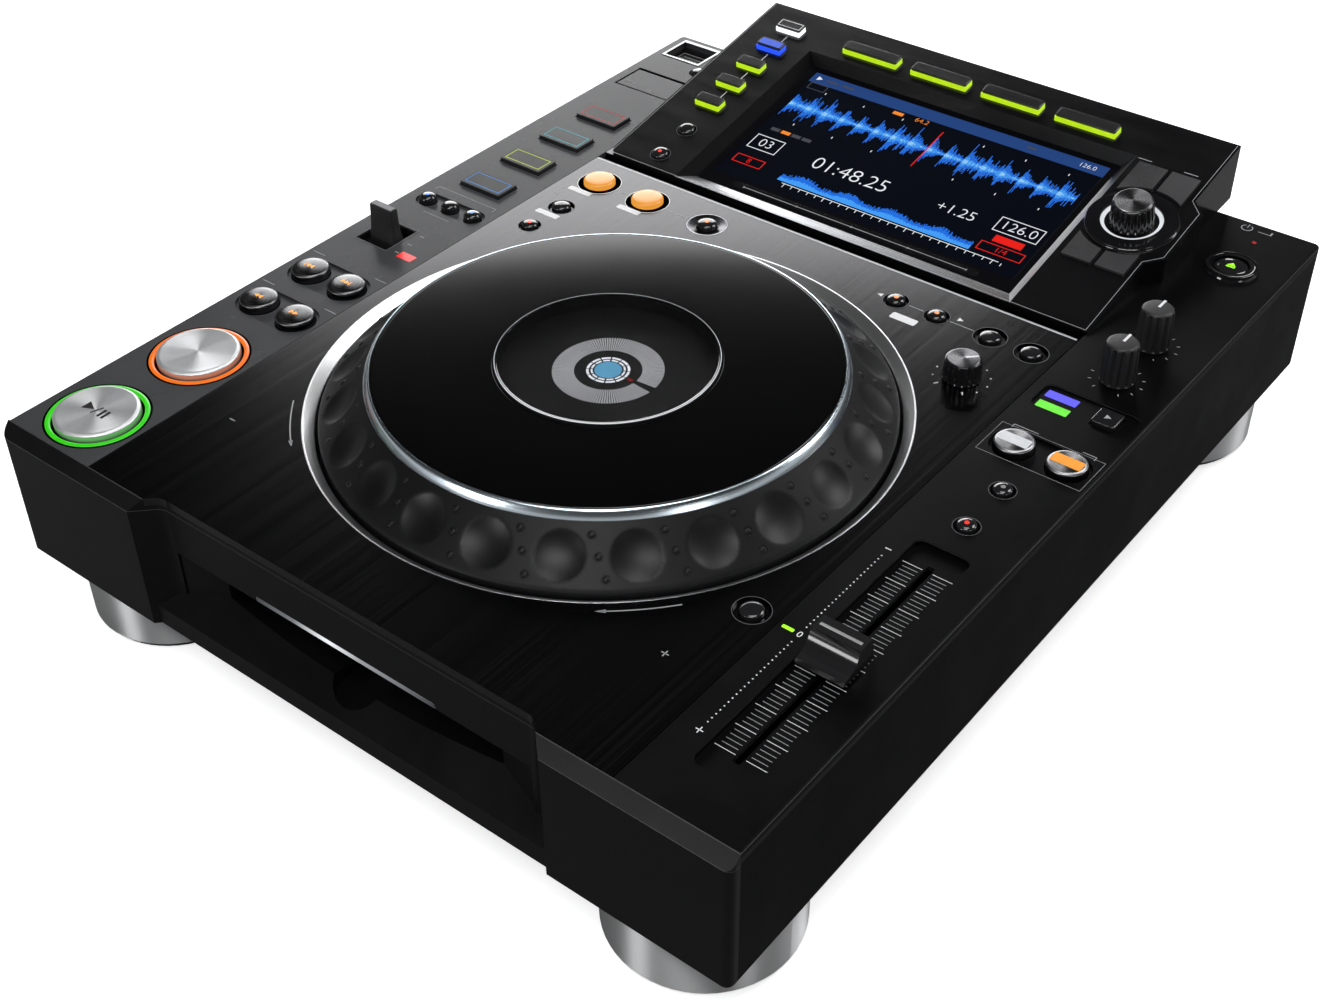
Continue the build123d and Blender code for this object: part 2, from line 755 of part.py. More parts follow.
# ---- Feet -------------------------------------------------------------------------------------------
with BuildPart() as feet:
    with BuildSketch(plan(FOOT_PAD_HEIGHT)):
        with Locations(*FOOT_PLACES):
            Circle(FOOT_RADIUS)
    extrude(amount=FOOT_HEIGHT - FOOT_PAD_HEIGHT)
    fillet(feet.edges().group_by(Axis.Z)[0], FOOT_ROUND)
    with Locations(*[(x, FRONT + y, FOOT_PAD_HEIGHT) for x, y in FOOT_PLACES]):
        with Locations(Rotation(180, 0, 0)):
            CounterBoreHole(SCREW_RADIUS + SCREW_CLEARANCE, FOOT_BORE_RADIUS, FOOT_BORE_DEPTH)
save(feet, "feet")

with BuildPart() as foot_pads:
    with BuildSketch(plan(0)):
        with Locations(*FOOT_PLACES):
            Circle(FOOT_RADIUS - FOOT_PAD_INSET)
            Circle(FOOT_BORE_RADIUS, mode=Mode.SUBTRACT)
    extrude(amount=FOOT_PAD_HEIGHT)
save(foot_pads, "foot_pads")

Z_SCREW_SEAT = FOOT_PAD_HEIGHT + FOOT_BORE_DEPTH
with BuildPart() as foot_screws:
    with BuildSketch(plan(Z_SCREW_SEAT)):
        with Locations(*FOOT_PLACES):
            Circle(SCREW_HEAD_RADIUS)
    extrude(amount=-SCREW_HEAD_HEIGHT)
    with BuildSketch(plan(Z_SCREW_SEAT)):
        with Locations(*FOOT_PLACES):
            Circle(SCREW_RADIUS)
    extrude(amount=FOOT_HEIGHT - Z_SCREW_SEAT + SCREW_REACH)
    with BuildSketch(plan(Z_SCREW_SEAT - SCREW_HEAD_HEIGHT)):
        with Locations(*FOOT_PLACES):
            RegularPolygon(SOCKET_RADIUS, 6)
    extrude(amount=SOCKET_DEPTH, mode=Mode.SUBTRACT)
save(foot_screws, "foot_screws")

# ---- Front bezel: two blocks, the visor between them and the lip below the disc slot ----------------
with BuildPart() as recess_space:
    with BuildSketch(plan(Z_LIP)):
        Polygon(*recess_outline(RECESS_DEPTH), align=None)
    extrude(amount=Z_TOP - Z_LIP + CUT_PAST)
    inner_edges = recess_space.edges().filter_by(Axis.Z).group_by(Axis.Y)[-1]
    fillet(inner_edges, RECESS_ROUND)
    with BuildSketch(profile(-RECESS_HALF)):
        with BuildLine():
            Polyline(
                (LIP_SETBACK, Z_LIP),
                (RECESS_DEPTH + CUT_PAST, Z_LIP),
                (RECESS_DEPTH + CUT_PAST, Z_MOUTH + LIP_SLOPE),
                close=True,
            )
        make_face()
    extrude(amount=2 * RECESS_HALF, mode=Mode.SUBTRACT)
    with BuildSketch(plan(Z_BOTTOM - CUT_PAST)):
        Polygon(*recess_outline(LIP_SETBACK), align=None)
    extrude(amount=LIP_HEIGHT + CUT_PAST)

NOTCH_RADIUS = (NOTCH_WIDTH ** 2 / 4 + NOTCH_DEPTH ** 2) / (2 * NOTCH_DEPTH)
SLOT_MIDDLE = SLOT_FRONT - SLOT_BOW
NOTCH_CENTRE = SLOT_MIDDLE - NOTCH_DEPTH + NOTCH_RADIUS
with BuildPart() as mouth_space:
    with BuildSketch(facing(RECESS_DEPTH)):
        box_outline(-MOUTH_HALF, MOUTH_HALF, Z_MOUTH, Z_VISOR)
    with BuildSketch(facing(SLOT_FRONT)):
        box_outline(-SLOT_HALF, SLOT_HALF, Z_SLOT, Z_SLOT_TOP)
    loft()
    with BuildSketch(plan(Z_SLOT - SLOT_HOLLOW)):
        with BuildLine():
            ThreePointArc((-SLOT_HALF, SLOT_FRONT), (0, SLOT_MIDDLE), (SLOT_HALF, SLOT_FRONT))
            Polyline(
                (SLOT_HALF, SLOT_FRONT),
                (SLOT_HALF, BEZEL_DEPTH + CUT_PAST),
                (-SLOT_HALF, BEZEL_DEPTH + CUT_PAST),
                (-SLOT_HALF, SLOT_FRONT),
            )
        make_face()
    extrude(amount=SLOT_HOLLOW + SLOT_HEIGHT)
    with BuildSketch(plan(Z_BOTTOM + NOTCH_FLOOR)):
        with Locations((0, NOTCH_CENTRE)):
            Circle(NOTCH_RADIUS)
        with Locations((0, NOTCH_CENTRE)):
            Rectangle(NOTCH_WIDTH, 2 * NOTCH_RADIUS, mode=Mode.INTERSECT)
    extrude(amount=SLOT_FLOOR + SLOT_HEIGHT - NOTCH_FLOOR)

POCKET_BACK = BEZEL_DEPTH + CUT_PAST
BLOCK_INNER = RECESS_HALF + BEZEL_WALL
Z_NOTCH_FLOOR = Z_BOTTOM + NOTCH_FLOOR
Z_POCKET = Z_BOTTOM + BEZEL_WALL
Z_POCKET_TOP = Z_DECK - BEZEL_WALL
with BuildPart() as front_bezel:
    with BuildSketch(profile(-HALF_WIDTH)):
        with BuildLine():
            Polyline(
                (0, Z_BOTTOM),
                (NOSE_RUN, Z_BOTTOM),
                (NOSE_RUN, Z_TOP),
                (0, Z_TOP - NOSE_DROP),
                close=True,
            )
        make_face()
    extrude(amount=BODY_WIDTH)
    front_corners = front_bezel.edges().filter_by(Axis.Z).group_by(Axis.Y)[0]
    fillet(front_corners, CORNER_RADIUS)
    with BuildSketch(plan(Z_BOTTOM)):
        box_outline(-INNER_HALF, INNER_HALF, NOSE_RUN, BEZEL_DEPTH)
    extrude(amount=Z_DECK - Z_BOTTOM)
    add(recess_space.part, mode=Mode.SUBTRACT)
    add(mouth_space.part, mode=Mode.SUBTRACT)
    # Pockets that leave an even wall, open at the back
    with BuildSketch(facing(POCKET_BACK)):
        box_outline(BLOCK_INNER, INNER_HALF, Z_POCKET, Z_DECK)
        box_outline(-INNER_HALF, -BLOCK_INNER, Z_POCKET, Z_DECK)
    extrude(amount=POCKET_BACK - NOSE_RUN, mode=Mode.SUBTRACT)
    with BuildSketch(facing(POCKET_BACK)):
        box_outline(-MOUTH_HALF, MOUTH_HALF, Z_SLOT_TOP + BEZEL_WALL, Z_POCKET_TOP)
    extrude(amount=BEZEL_DEPTH - SLOT_FRONT + CUT_PAST, mode=Mode.SUBTRACT)
    with BuildSketch(facing(POCKET_BACK)):
        box_outline(-MOUTH_HALF, MOUTH_HALF, Z_POCKET, Z_NOTCH_FLOOR - BEZEL_WALL)
    extrude(amount=BEZEL_DEPTH - SLOT_FRONT + CUT_PAST, mode=Mode.SUBTRACT)
    # Seat of the light strip along the visor's lower edge
    with BuildSketch(facing(RECESS_DEPTH)):
        box_outline(-LIGHT_HALF, LIGHT_HALF, Z_VISOR, Z_VISOR + LIGHT_HEIGHT)
    extrude(amount=-LIGHT_DEPTH, mode=Mode.SUBTRACT)
save(front_bezel, "front_bezel")

# ---- Side panels ------------------------------------------------------------------------------------
for name, side in (("left_side_panel", -1), ("right_side_panel", 1)):
    with BuildPart() as side_panel:
        with BuildSketch(plan(Z_BOTTOM)):
            box_outline(
                min(side * INNER_HALF, side * HALF_WIDTH),
                max(side * INNER_HALF, side * HALF_WIDTH),
                NOSE_RUN,
                BODY_DEPTH,
            )
        extrude(amount=Z_DECK - Z_BOTTOM)
        outer_edges = side_panel.edges().filter_by(Axis.Z).group_by(Axis.Y)[-1]
        fillet(outer_edges.sort_by(Axis.X)[0 if side < 0 else -1], CORNER_RADIUS)
    save(side_panel, name)

# ---- Rear sockets and the panel they stand in -------------------------------------------------------
Z_SOCKET = Z_BOTTOM + SOCKET_LINE
JACK_PLACES = [(x, Z_SOCKET) for x in JACK_X]
DATA_SOCKETS = ((NETWORK_X, NETWORK_SIZE), (USB_B_X, USB_B_SIZE))
REAR_FACE = Plane(origin=(0, FRONT + BODY_DEPTH, 0), x_dir=(-1, 0, 0), z_dir=(0, 1, 0))
INLET_PINS = [
    (-INLET_SIZE[0] / 4, -INLET_PIN_RISE),
    (INLET_SIZE[0] / 4, -INLET_PIN_RISE),
    (0, INLET_PIN_RISE),
]
SWITCH_FRAME = (
    ROCKER_SIZE[0] + 2 * (KEY_GAP + FRAME_WALL),
    ROCKER_SIZE[1] + 2 * (ROCKER_ROOM + FRAME_WALL),
)


def on_rear(x, z):
    """A place on the rear face, whose own x runs the other way."""
    return (-x, z)


with BuildPart() as rear_panel:
    with BuildSketch(facing(BODY_DEPTH)):
        box_outline(-INNER_HALF, INNER_HALF, Z_BOTTOM, Z_DECK)
    extrude(amount=REAR_WALL)
    with BuildSketch(REAR_FACE):
        with Locations(*[on_rear(x, z) for x, z in JACK_PLACES]):
            Circle(JACK_RADIUS)
        for x, size in DATA_SOCKETS:
            with Locations(on_rear(x, Z_SOCKET)):
                Rectangle(*size)
        with Locations(on_rear(INLET_X, Z_SOCKET)):
            Rectangle(*INLET_SIZE)
        with Locations(on_rear(SWITCH_X, Z_SOCKET)):
            Rectangle(*SWITCH_FRAME)
    extrude(amount=-REAR_WALL, mode=Mode.SUBTRACT)
save(rear_panel, "rear_panel")

with BuildPart() as rear_sockets:
    # Phono jacks
    with BuildSketch(REAR_FACE.offset(-REAR_WALL)):
        with Locations(*[on_rear(x, z) for x, z in JACK_PLACES]):
            Circle(JACK_RADIUS)
    extrude(amount=REAR_WALL + JACK_LENGTH)
    with BuildSketch(REAR_FACE):
        with Locations(*[on_rear(x, z) for x, z in JACK_PLACES]):
            Circle(JACK_COLLAR[0])
    extrude(amount=JACK_COLLAR[1])
    with BuildSketch(REAR_FACE.offset(JACK_LENGTH)):
        with Locations(*[on_rear(x, z) for x, z in JACK_PLACES]):
            Circle(JACK_BORE)
    extrude(amount=-JACK_LENGTH, mode=Mode.SUBTRACT)
    # Network and USB sockets: square shells, open to the rear
    for x, size in DATA_SOCKETS:
        with BuildSketch(REAR_FACE.offset(DATA_PROUD)):
            with Locations(on_rear(x, Z_SOCKET)):
                Rectangle(*size)
        extrude(amount=-(DATA_PROUD + DATA_DEPTH + DATA_WALL))
        with BuildSketch(REAR_FACE.offset(DATA_PROUD)):
            with Locations(on_rear(x, Z_SOCKET)):
                Rectangle(size[0] - 2 * DATA_WALL, size[1] - 2 * DATA_WALL)
        extrude(amount=-(DATA_PROUD + DATA_DEPTH), mode=Mode.SUBTRACT)
    # Mains inlet with its three pins
    with BuildSketch(REAR_FACE):
        with Locations(on_rear(INLET_X, Z_SOCKET)):
            Rectangle(INLET_SIZE[0] + 2 * INLET_FLANGE, INLET_SIZE[1] + 2 * INLET_FLANGE)
    extrude(amount=INLET_FLANGE)
    with BuildSketch(REAR_FACE):
        with Locations(on_rear(INLET_X, Z_SOCKET)):
            Rectangle(*INLET_SIZE)
    extrude(amount=-(INLET_DEPTH + INLET_WALL))
    with BuildSketch(REAR_FACE.offset(INLET_FLANGE)):
        with Locations(on_rear(INLET_X, Z_SOCKET)):
            Rectangle(INLET_SIZE[0] - 2 * INLET_WALL, INLET_SIZE[1] - 2 * INLET_WALL)
    extrude(amount=-(INLET_FLANGE + INLET_DEPTH), mode=Mode.SUBTRACT)
    with BuildSketch(REAR_FACE.offset(-INLET_DEPTH)):
        with Locations(on_rear(INLET_X, Z_SOCKET)):
            with Locations(*INLET_PINS):
                Rectangle(INLET_PIN[1], INLET_PIN[0])
    extrude(amount=INLET_PIN[2])
    # Frame of the power switch
    with BuildSketch(REAR_FACE):
        with Locations(on_rear(SWITCH_X, Z_SOCKET)):
            Rectangle(*SWITCH_FRAME)
            Rectangle(
                ROCKER_SIZE[0] + 2 * KEY_GAP,
                ROCKER_SIZE[1] + 2 * ROCKER_ROOM,
                mode=Mode.SUBTRACT,
            )
    extrude(amount=-2 * ROCKER_DEPTH)
    with Locations(Plane(origin=(SWITCH_X, FRONT + BODY_DEPTH - ROCKER_DEPTH, Z_SOCKET), z_dir=(1, 0, 0))):
        Cylinder(
            ROCKER_PIN_RADIUS + SHAFT_FIT,
            ROCKER_SIZE[0] + 2 * (KEY_GAP + ROCKER_PIN_LENGTH),
            mode=Mode.SUBTRACT,
        )
save(rear_sockets, "rear_sockets")

ROCKER = Plane(
    origin=(SWITCH_X, FRONT + BODY_DEPTH - ROCKER_DEPTH, Z_SOCKET),
    x_dir=(-1, 0, 0),
    z_dir=(0, cos(radians(ROCKER_TILT)), -sin(radians(ROCKER_TILT))),
)
with BuildPart() as power_switch:
    with BuildSketch(ROCKER):
        Rectangle(*ROCKER_SIZE)
    extrude(amount=ROCKER_DEPTH)
    fillet(power_switch.edges().group_by(Axis(ROCKER.origin, ROCKER.z_dir))[-1], KEY_ROUND)
    with Locations(Plane(origin=ROCKER.origin, z_dir=(1, 0, 0))):
        Cylinder(ROCKER_PIN_RADIUS, ROCKER_SIZE[0] + 2 * (KEY_GAP + ROCKER_PIN_LENGTH - SHAFT_FIT))
save(power_switch, "power_switch")

# ---- Left strip -------------------------------------------------------------------------------------
PAD_PLACES = [from_left_line(0.5, PAD_LINE + step * PAD_PITCH) for step in range(PAD_COUNT)]
RING_PLACES = [from_left_line(0, PLAY_LINE), from_left_line(0, CUE_LINE)]
LEVER_PLACE = from_left_line(LEVER_OFFSET, LEVER_LINE)
DOOR_PLACE = from_left_line(DOOR_OFFSET, BODY_DEPTH - DOOR_BACK_INSET - DOOR_SIZE[1] / 2)
USB_PLACE = from_left_line(USB_OFFSET, BODY_DEPTH - USB_BACK_INSET)
Z_HINGE = Z_TOP - HINGE_RADIUS
DOOR_HINGE_LINE = BODY_DEPTH - DOOR_BACK_INSET - HINGE_RADIUS
Z_LEVER_PIVOT = Z_TOP - LEVER_PIVOT_DROP
LEVER_PIN_HALF = LEVER_SLOT[0] / 2 + LEVER_EAR[0]
LEVER_EAR_X = LEVER_PIN_HALF - LEVER_EAR[0] / 2
BIG_KEY_STOP = DECK + LIGHT_RING_DEPTH

with BuildPart() as left_strip:
    with BuildSketch(plan(Z_DECK)):
        box_outline(-HALF_WIDTH, -PANEL_HALF - SEAM, NOSE_RUN, BODY_DEPTH)
    extrude(amount=DECK)
    fillet(left_strip.edges().filter_by(Axis.Z).group_by(Axis.X)[0].sort_by(Axis.Y)[-1], CORNER_RADIUS)
    fillet(left_strip.edges().group_by(Axis.Z)[-1].group_by(Axis.X)[0], DECK_EDGE_ROUND)
    # Two ears carry the lever's pin
    for side in (-1, 1):
        with BuildSketch(plan(Z_DECK)):
            with Locations((LEVER_PLACE[0] + side * LEVER_EAR_X, LEVER_PLACE[1])):
                Rectangle(*LEVER_EAR)
        extrude(amount=Z_LEVER_PIVOT - LEVER_EAR_REACH - Z_DECK)
    with Locations(Plane(origin=(LEVER_PLACE[0], FRONT + LEVER_PLACE[1], Z_LEVER_PIVOT), z_dir=(1, 0, 0))):
        Cylinder(LEVER_PIN_RADIUS + SHAFT_FIT, 2 * LEVER_PIN_HALF, mode=Mode.SUBTRACT)
    with BuildSketch(DECK_TOP):
        with Locations(*RING_PLACES):
            Circle(LIGHT_RING_RADIUS)
        with Locations(LEVER_PLACE):
            Rectangle(*LEVER_SLOT)
        with Locations(DOOR_PLACE):
            Rectangle(DOOR_SIZE[0] + 2 * DOOR_GAP, DOOR_SIZE[1] + 2 * DOOR_GAP)
        with Locations(USB_PLACE):
            Rectangle(*USB_WINDOW)
    extrude(amount=-DECK, mode=Mode.SUBTRACT)
    with BuildSketch(DECK_TOP):
        pill(SEARCH_LINE, SEARCH_HALF_PITCH, SEARCH_RADIUS + PILL_MARGIN, LEFT_LINE)
        pill(TRACK_LINE, SEARCH_HALF_PITCH, SEARCH_RADIUS + PILL_MARGIN, LEFT_LINE)
        pill(BANK_LINE, BANK_PITCH, BANK_RADIUS + PILL_MARGIN, LEFT_LINE)
    extrude(amount=-KEY_RECESS, mode=Mode.SUBTRACT)
    cut_round_keys(LEFT_KEYS, DECK_TOP, DECK)
    cut_blocks(PAD_PLACES, PAD_SIZE, DECK_TOP, DECK)
    # Bearing holes for the door's pins
    with Locations(Plane(origin=(DOOR_PLACE[0], FRONT + DOOR_HINGE_LINE, Z_HINGE), z_dir=(1, 0, 0))):
        Cylinder(
            HINGE_PIN_RADIUS + SHAFT_FIT,
            DOOR_SIZE[0] + 2 * (DOOR_GAP + HINGE_PIN_LENGTH),
            mode=Mode.SUBTRACT,
        )
save(left_strip, "left_strip")

make_round_keys(LEFT_KEYS, DECK_TOP, DECK)
for number, place in enumerate(PAD_PLACES, start=1):
    make_block_keys(f"hot_cue_pad_{number}", [place], PAD_SIZE, PAD_RISE, DECK_TOP, DECK)

# ---- Light guides, and the play and cue keys in the lit rings --------------------------------------
RING_INNER = LIGHT_RING_RADIUS - LIGHT_RING_WIDTH
BIG_KEY_RADIUS = RING_INNER - KEY_GAP
with BuildPart() as light_guides:
    with BuildSketch(DECK_TOP.offset(-BIG_KEY_STOP)):
        with Locations(*RING_PLACES):
            Circle(LIGHT_RING_RADIUS)
    extrude(amount=BIG_KEY_STOP + LIGHT_RING_PROUD)
    with BuildSketch(DECK_TOP.offset(-BIG_KEY_STOP)):
        with Locations(*RING_PLACES):
            Circle(LIGHT_RING_RADIUS + LIGHT_RING_FLANGE)
    extrude(amount=LIGHT_RING_DEPTH)
    with BuildSketch(DECK_TOP.offset(-BIG_KEY_STOP)):
        with Locations(*RING_PLACES):
            Circle(RING_INNER)
    extrude(amount=BIG_KEY_STOP + LIGHT_RING_PROUD, mode=Mode.SUBTRACT)
    # The bar along the visor's lower edge
    with BuildSketch(facing(RECESS_DEPTH)):
        box_outline(-LIGHT_HALF, LIGHT_HALF, Z_VISOR, Z_VISOR + LIGHT_HEIGHT)
    extrude(amount=-LIGHT_DEPTH)
save(light_guides, "light_guides")
make_round_keys(
    [
        RoundKey("play_button", [RING_PLACES[0]], BIG_KEY_RADIUS, BIG_KEY_RISE),
        RoundKey("cue_button", [RING_PLACES[1]], BIG_KEY_RADIUS, BIG_KEY_RISE),
    ],
    DECK_TOP,
    BIG_KEY_STOP,
)

# ---- Direction lever --------------------------------------------------------------------------------
LEVER_FRAME = Plane(origin=(LEVER_PLACE[0], FRONT + LEVER_PLACE[1], Z_LEVER_PIVOT))
with BuildPart() as direction_lever:
    with BuildSketch(LEVER_FRAME):
        Rectangle(*LEVER_FOOT)
    with BuildSketch(LEVER_FRAME.offset(LEVER_PIVOT_DROP + LEVER_RISE)):
        Rectangle(*LEVER_TOP)
    loft()
    fillet(direction_lever.edges().group_by(Axis.Z)[-1], KEY_ROUND)
    with Locations(Plane(origin=LEVER_FRAME.origin, z_dir=(1, 0, 0))):
        Cylinder(LEVER_PIN_RADIUS, 2 * LEVER_PIN_HALF)
save(direction_lever, "direction_lever")

# ---- Card door on its hinge pins, and the card and USB sockets below the strip ----------------------
DOOR_FRONT_LINE = DOOR_PLACE[1] - DOOR_SIZE[1] / 2
with BuildPart() as card_door:
    with BuildSketch(DECK_TOP):
        box_outline(
            DOOR_PLACE[0] - DOOR_SIZE[0] / 2,
            DOOR_PLACE[0] + DOOR_SIZE[0] / 2,
            DOOR_FRONT_LINE,
            DOOR_HINGE_LINE,
        )
    extrude(amount=-DOOR_THICKNESS)
    with Locations(Plane(origin=(DOOR_PLACE[0], FRONT + DOOR_HINGE_LINE, Z_HINGE), z_dir=(1, 0, 0))):
        Cylinder(HINGE_RADIUS, DOOR_SIZE[0])
        Cylinder(HINGE_PIN_RADIUS, DOOR_SIZE[0] + 2 * (DOOR_GAP + HINGE_PIN_LENGTH - SHAFT_FIT))
save(card_door, "card_door")

with BuildPart() as media_sockets:
    with BuildSketch(plan(Z_DECK)):
        with Locations(DOOR_PLACE):
            Rectangle(DOOR_SIZE[0] + 2 * CARD_BLOCK_MARGIN, DOOR_SIZE[1] + 2 * CARD_BLOCK_MARGIN)
    extrude(amount=-CARD_DEPTH)
    with BuildSketch(plan(Z_DECK)):
        with Locations(DOOR_PLACE):
            Rectangle(*CARD_SLOT)
    extrude(amount=-CARD_DEPTH + CARD_BLOCK_MARGIN, mode=Mode.SUBTRACT)
    with BuildSketch(plan(Z_DECK)):
        with Locations(USB_PLACE):
            Rectangle(USB_WINDOW[0] + 2 * DATA_WALL, USB_WINDOW[1] + 2 * DATA_WALL)
    extrude(amount=-USB_FRAME_DEPTH - USB_DEPTH - DATA_WALL)
    with BuildSketch(plan(Z_DECK)):
        with Locations(USB_PLACE):
            Rectangle(*USB_WINDOW)
    extrude(amount=-USB_FRAME_DEPTH, mode=Mode.SUBTRACT)
    with BuildSketch(plan(Z_DECK - USB_FRAME_DEPTH)):
        with Locations(USB_PLACE):
            Rectangle(*USB_SOCKET)
    extrude(amount=-USB_DEPTH, mode=Mode.SUBTRACT)
save(media_sockets, "media_sockets")

# ---- Right strip ------------------------------------------------------------------------------------
FADER_X = RIGHT_LINE + FADER_OFFSET
FADER_PLACE = (FADER_X, FADER_LINE)
MODE_PLACE = from_right_line(MODE_KEY_OFFSET, MODE_LINE)
EJECT_PLACE = from_right_line(EJECT_OFFSET, BODY_DEPTH - EJECT_BACK_INSET)
KNOB_PLACES = {
    "knob_a": from_right_line(0, KNOB_A_LINE),
    "knob_b": from_right_line(0, KNOB_B_LINE),
}
FADER_SLOT = (FADER_BLADE[0] + 2 * FADER_SLOT_GAP, FADER_TRAVEL + FADER_BLADE[1] + 2 * FADER_SLOT_GAP)

with BuildPart() as right_strip:
    with BuildSketch(plan(Z_DECK)):
        box_outline(PANEL_HALF + SEAM, HALF_WIDTH, NOSE_RUN, BODY_DEPTH)
    extrude(amount=DECK)
    fillet(right_strip.edges().filter_by(Axis.Z).group_by(Axis.X)[-1].sort_by(Axis.Y)[-1], CORNER_RADIUS)
    fillet(right_strip.edges().group_by(Axis.Z)[-1].group_by(Axis.X)[-1], EDGE_ROUND)
    with BuildSketch(DECK_TOP):
        with Locations(FADER_PLACE):
            RectangleRounded(*FADER_RECESS, FADER_RECESS_ROUND)
    extrude(amount=-FADER_RECESS_DEPTH, mode=Mode.SUBTRACT)
    with BuildSketch(DECK_TOP):
        with Locations(FADER_PLACE):
            Rectangle(*FADER_SLOT)
    extrude(amount=-DECK, mode=Mode.SUBTRACT)
    with BuildSketch(DECK_TOP):
        pill(MASTER_LINE, MASTER_HALF_PITCH, MASTER_RADIUS + PILL_MARGIN, RIGHT_LINE)
    extrude(amount=-KEY_RECESS, mode=Mode.SUBTRACT)
    with BuildSketch(DECK_TOP):
        with Locations(from_right_line(0, MODE_LINE)):
            RectangleRounded(*MODE_PANEL, FADER_RECESS_ROUND)
    extrude(amount=-MODE_PANEL_DEPTH, mode=Mode.SUBTRACT)
    with BuildSketch(DECK_TOP):
        with Locations(EJECT_PLACE):
            Circle(EJECT_RING_RADIUS)
    extrude(amount=EJECT_RING_HEIGHT, taper=EJECT_RING_SLOPE)
    with BuildSketch(DECK_TOP):
        with Locations(EJECT_PLACE):
            Circle(EJECT_RADIUS + KEY_GAP)
    extrude(amount=EJECT_RING_HEIGHT, mode=Mode.SUBTRACT)
    cut_round_keys(RIGHT_KEYS, DECK_TOP, DECK)
    cut_blocks([MODE_PLACE], (MODE_KEY, MODE_KEY), DECK_TOP, DECK)
    cut_shafts(KNOB_PLACES.values(), DECK_TOP, DECK)
save(right_strip, "right_strip")

make_round_keys(RIGHT_KEYS, DECK_TOP, DECK)
make_block_keys("jog_mode_button", [MODE_PLACE], (MODE_KEY, MODE_KEY), KEY_RECESS, DECK_TOP, DECK)
for name, place in KNOB_PLACES.items():
    make_knob(name, place, DECK_TOP, DECK, KNOB_RADIUS, KNOB_HEIGHT, KNOB_FLUTES)

# ---- Tempo slider: a cap with a scoop before its bar, on a blade through the slot -------------------
CAP_FRONT = FADER_LINE - FADER_CAP_REACH
CAP_BACK = CAP_FRONT + FADER_CAP[1]
Z_CAP = Z_TOP + FADER_CAP_LIFT
Z_CAP_TOP = Z_CAP + FADER_CAP_HEIGHT
SCOOP_HIGH = (CAP_BACK - FADER_BAR_RUN, Z_CAP_TOP)
SCOOP_LOW = (CAP_FRONT + FADER_FRONT_LEAN, Z_CAP_TOP - FADER_SCOOP)
SCOOP_MIDDLE = (
    (SCOOP_LOW[0] + SCOOP_HIGH[0]) / 2,
    (SCOOP_LOW[1] + SCOOP_HIGH[1]) / 2 - FADER_SCOOP_SAG,
)
with BuildPart() as tempo_slider:
    with BuildSketch(profile(FADER_X - FADER_CAP[0] / 2)):
        with BuildLine():
            Line(SCOOP_LOW, (CAP_FRONT, Z_CAP))
            Line((CAP_FRONT, Z_CAP), (CAP_BACK, Z_CAP))
            Line((CAP_BACK, Z_CAP), (CAP_BACK - FADER_BACK_LEAN, Z_CAP_TOP))
            Line((CAP_BACK - FADER_BACK_LEAN, Z_CAP_TOP), SCOOP_HIGH)
            ThreePointArc(SCOOP_HIGH, SCOOP_MIDDLE, SCOOP_LOW)
        make_face()
    extrude(amount=FADER_CAP[0])
    with BuildSketch(plan(Z_CAP)):
        with Locations(FADER_PLACE):
            Rectangle(*FADER_BLADE)
    extrude(amount=-(FADER_CAP_LIFT + DECK + FADER_FOOT_GAP + FADER_FOOT[1]))
    with BuildSketch(plan(Z_DECK - FADER_FOOT_GAP)):
        with Locations(FADER_PLACE):
            Rectangle(FADER_FOOT[0], FADER_BLADE[1])
    extrude(amount=-FADER_FOOT[1])
save(tempo_slider, "tempo_slider")

# ---- Centre panel -----------------------------------------------------------------------------------
HOLLOW_LEFT = MODULE_LEFT_X + SHELL
HOLLOW_RIGHT = MODULE_RIGHT_X - SHELL
ADJUST_PLACE_XY = from_right_corner(*ADJUST_PLACE)
with BuildPart() as centre_panel:
    with BuildSketch(plan(Z_DECK)):
        box_outline(-PANEL_HALF + SEAM, PANEL_HALF - SEAM, NOSE_RUN, BODY_DEPTH)
    extrude(amount=DECK)
    add(recess_space.part, mode=Mode.SUBTRACT)
    with BuildSketch(DECK_TOP):
        box_outline(-PANEL_HALF, PANEL_HALF, MODULE_FRONT - GROOVE_RUN, MODULE_FRONT)
    extrude(amount=-GROOVE_DEPTH, mode=Mode.SUBTRACT)
    with BuildSketch(DECK_TOP):
        with Locations((0, JOG_LINE)):
            Circle(JOG_RING_RADIUS)
        box_outline(
            HOLLOW_LEFT - KEY_GAP,
            HOLLOW_RIGHT + KEY_GAP,
            MODULE_FRONT,
            BODY_DEPTH - WINDOW_RIM,
        )
    extrude(amount=-DECK, mode=Mode.SUBTRACT)
    cut_round_keys(CENTRE_KEYS, DECK_TOP, DECK)
    cut_shafts([ADJUST_PLACE_XY], DECK_TOP, DECK)
save(centre_panel, "centre_panel")

make_round_keys(CENTRE_KEYS, DECK_TOP, DECK)
make_knob("jog_adjust_knob", ADJUST_PLACE_XY, DECK_TOP, DECK, ADJUST_RADIUS, ADJUST_HEIGHT, KNOB_FLUTES)

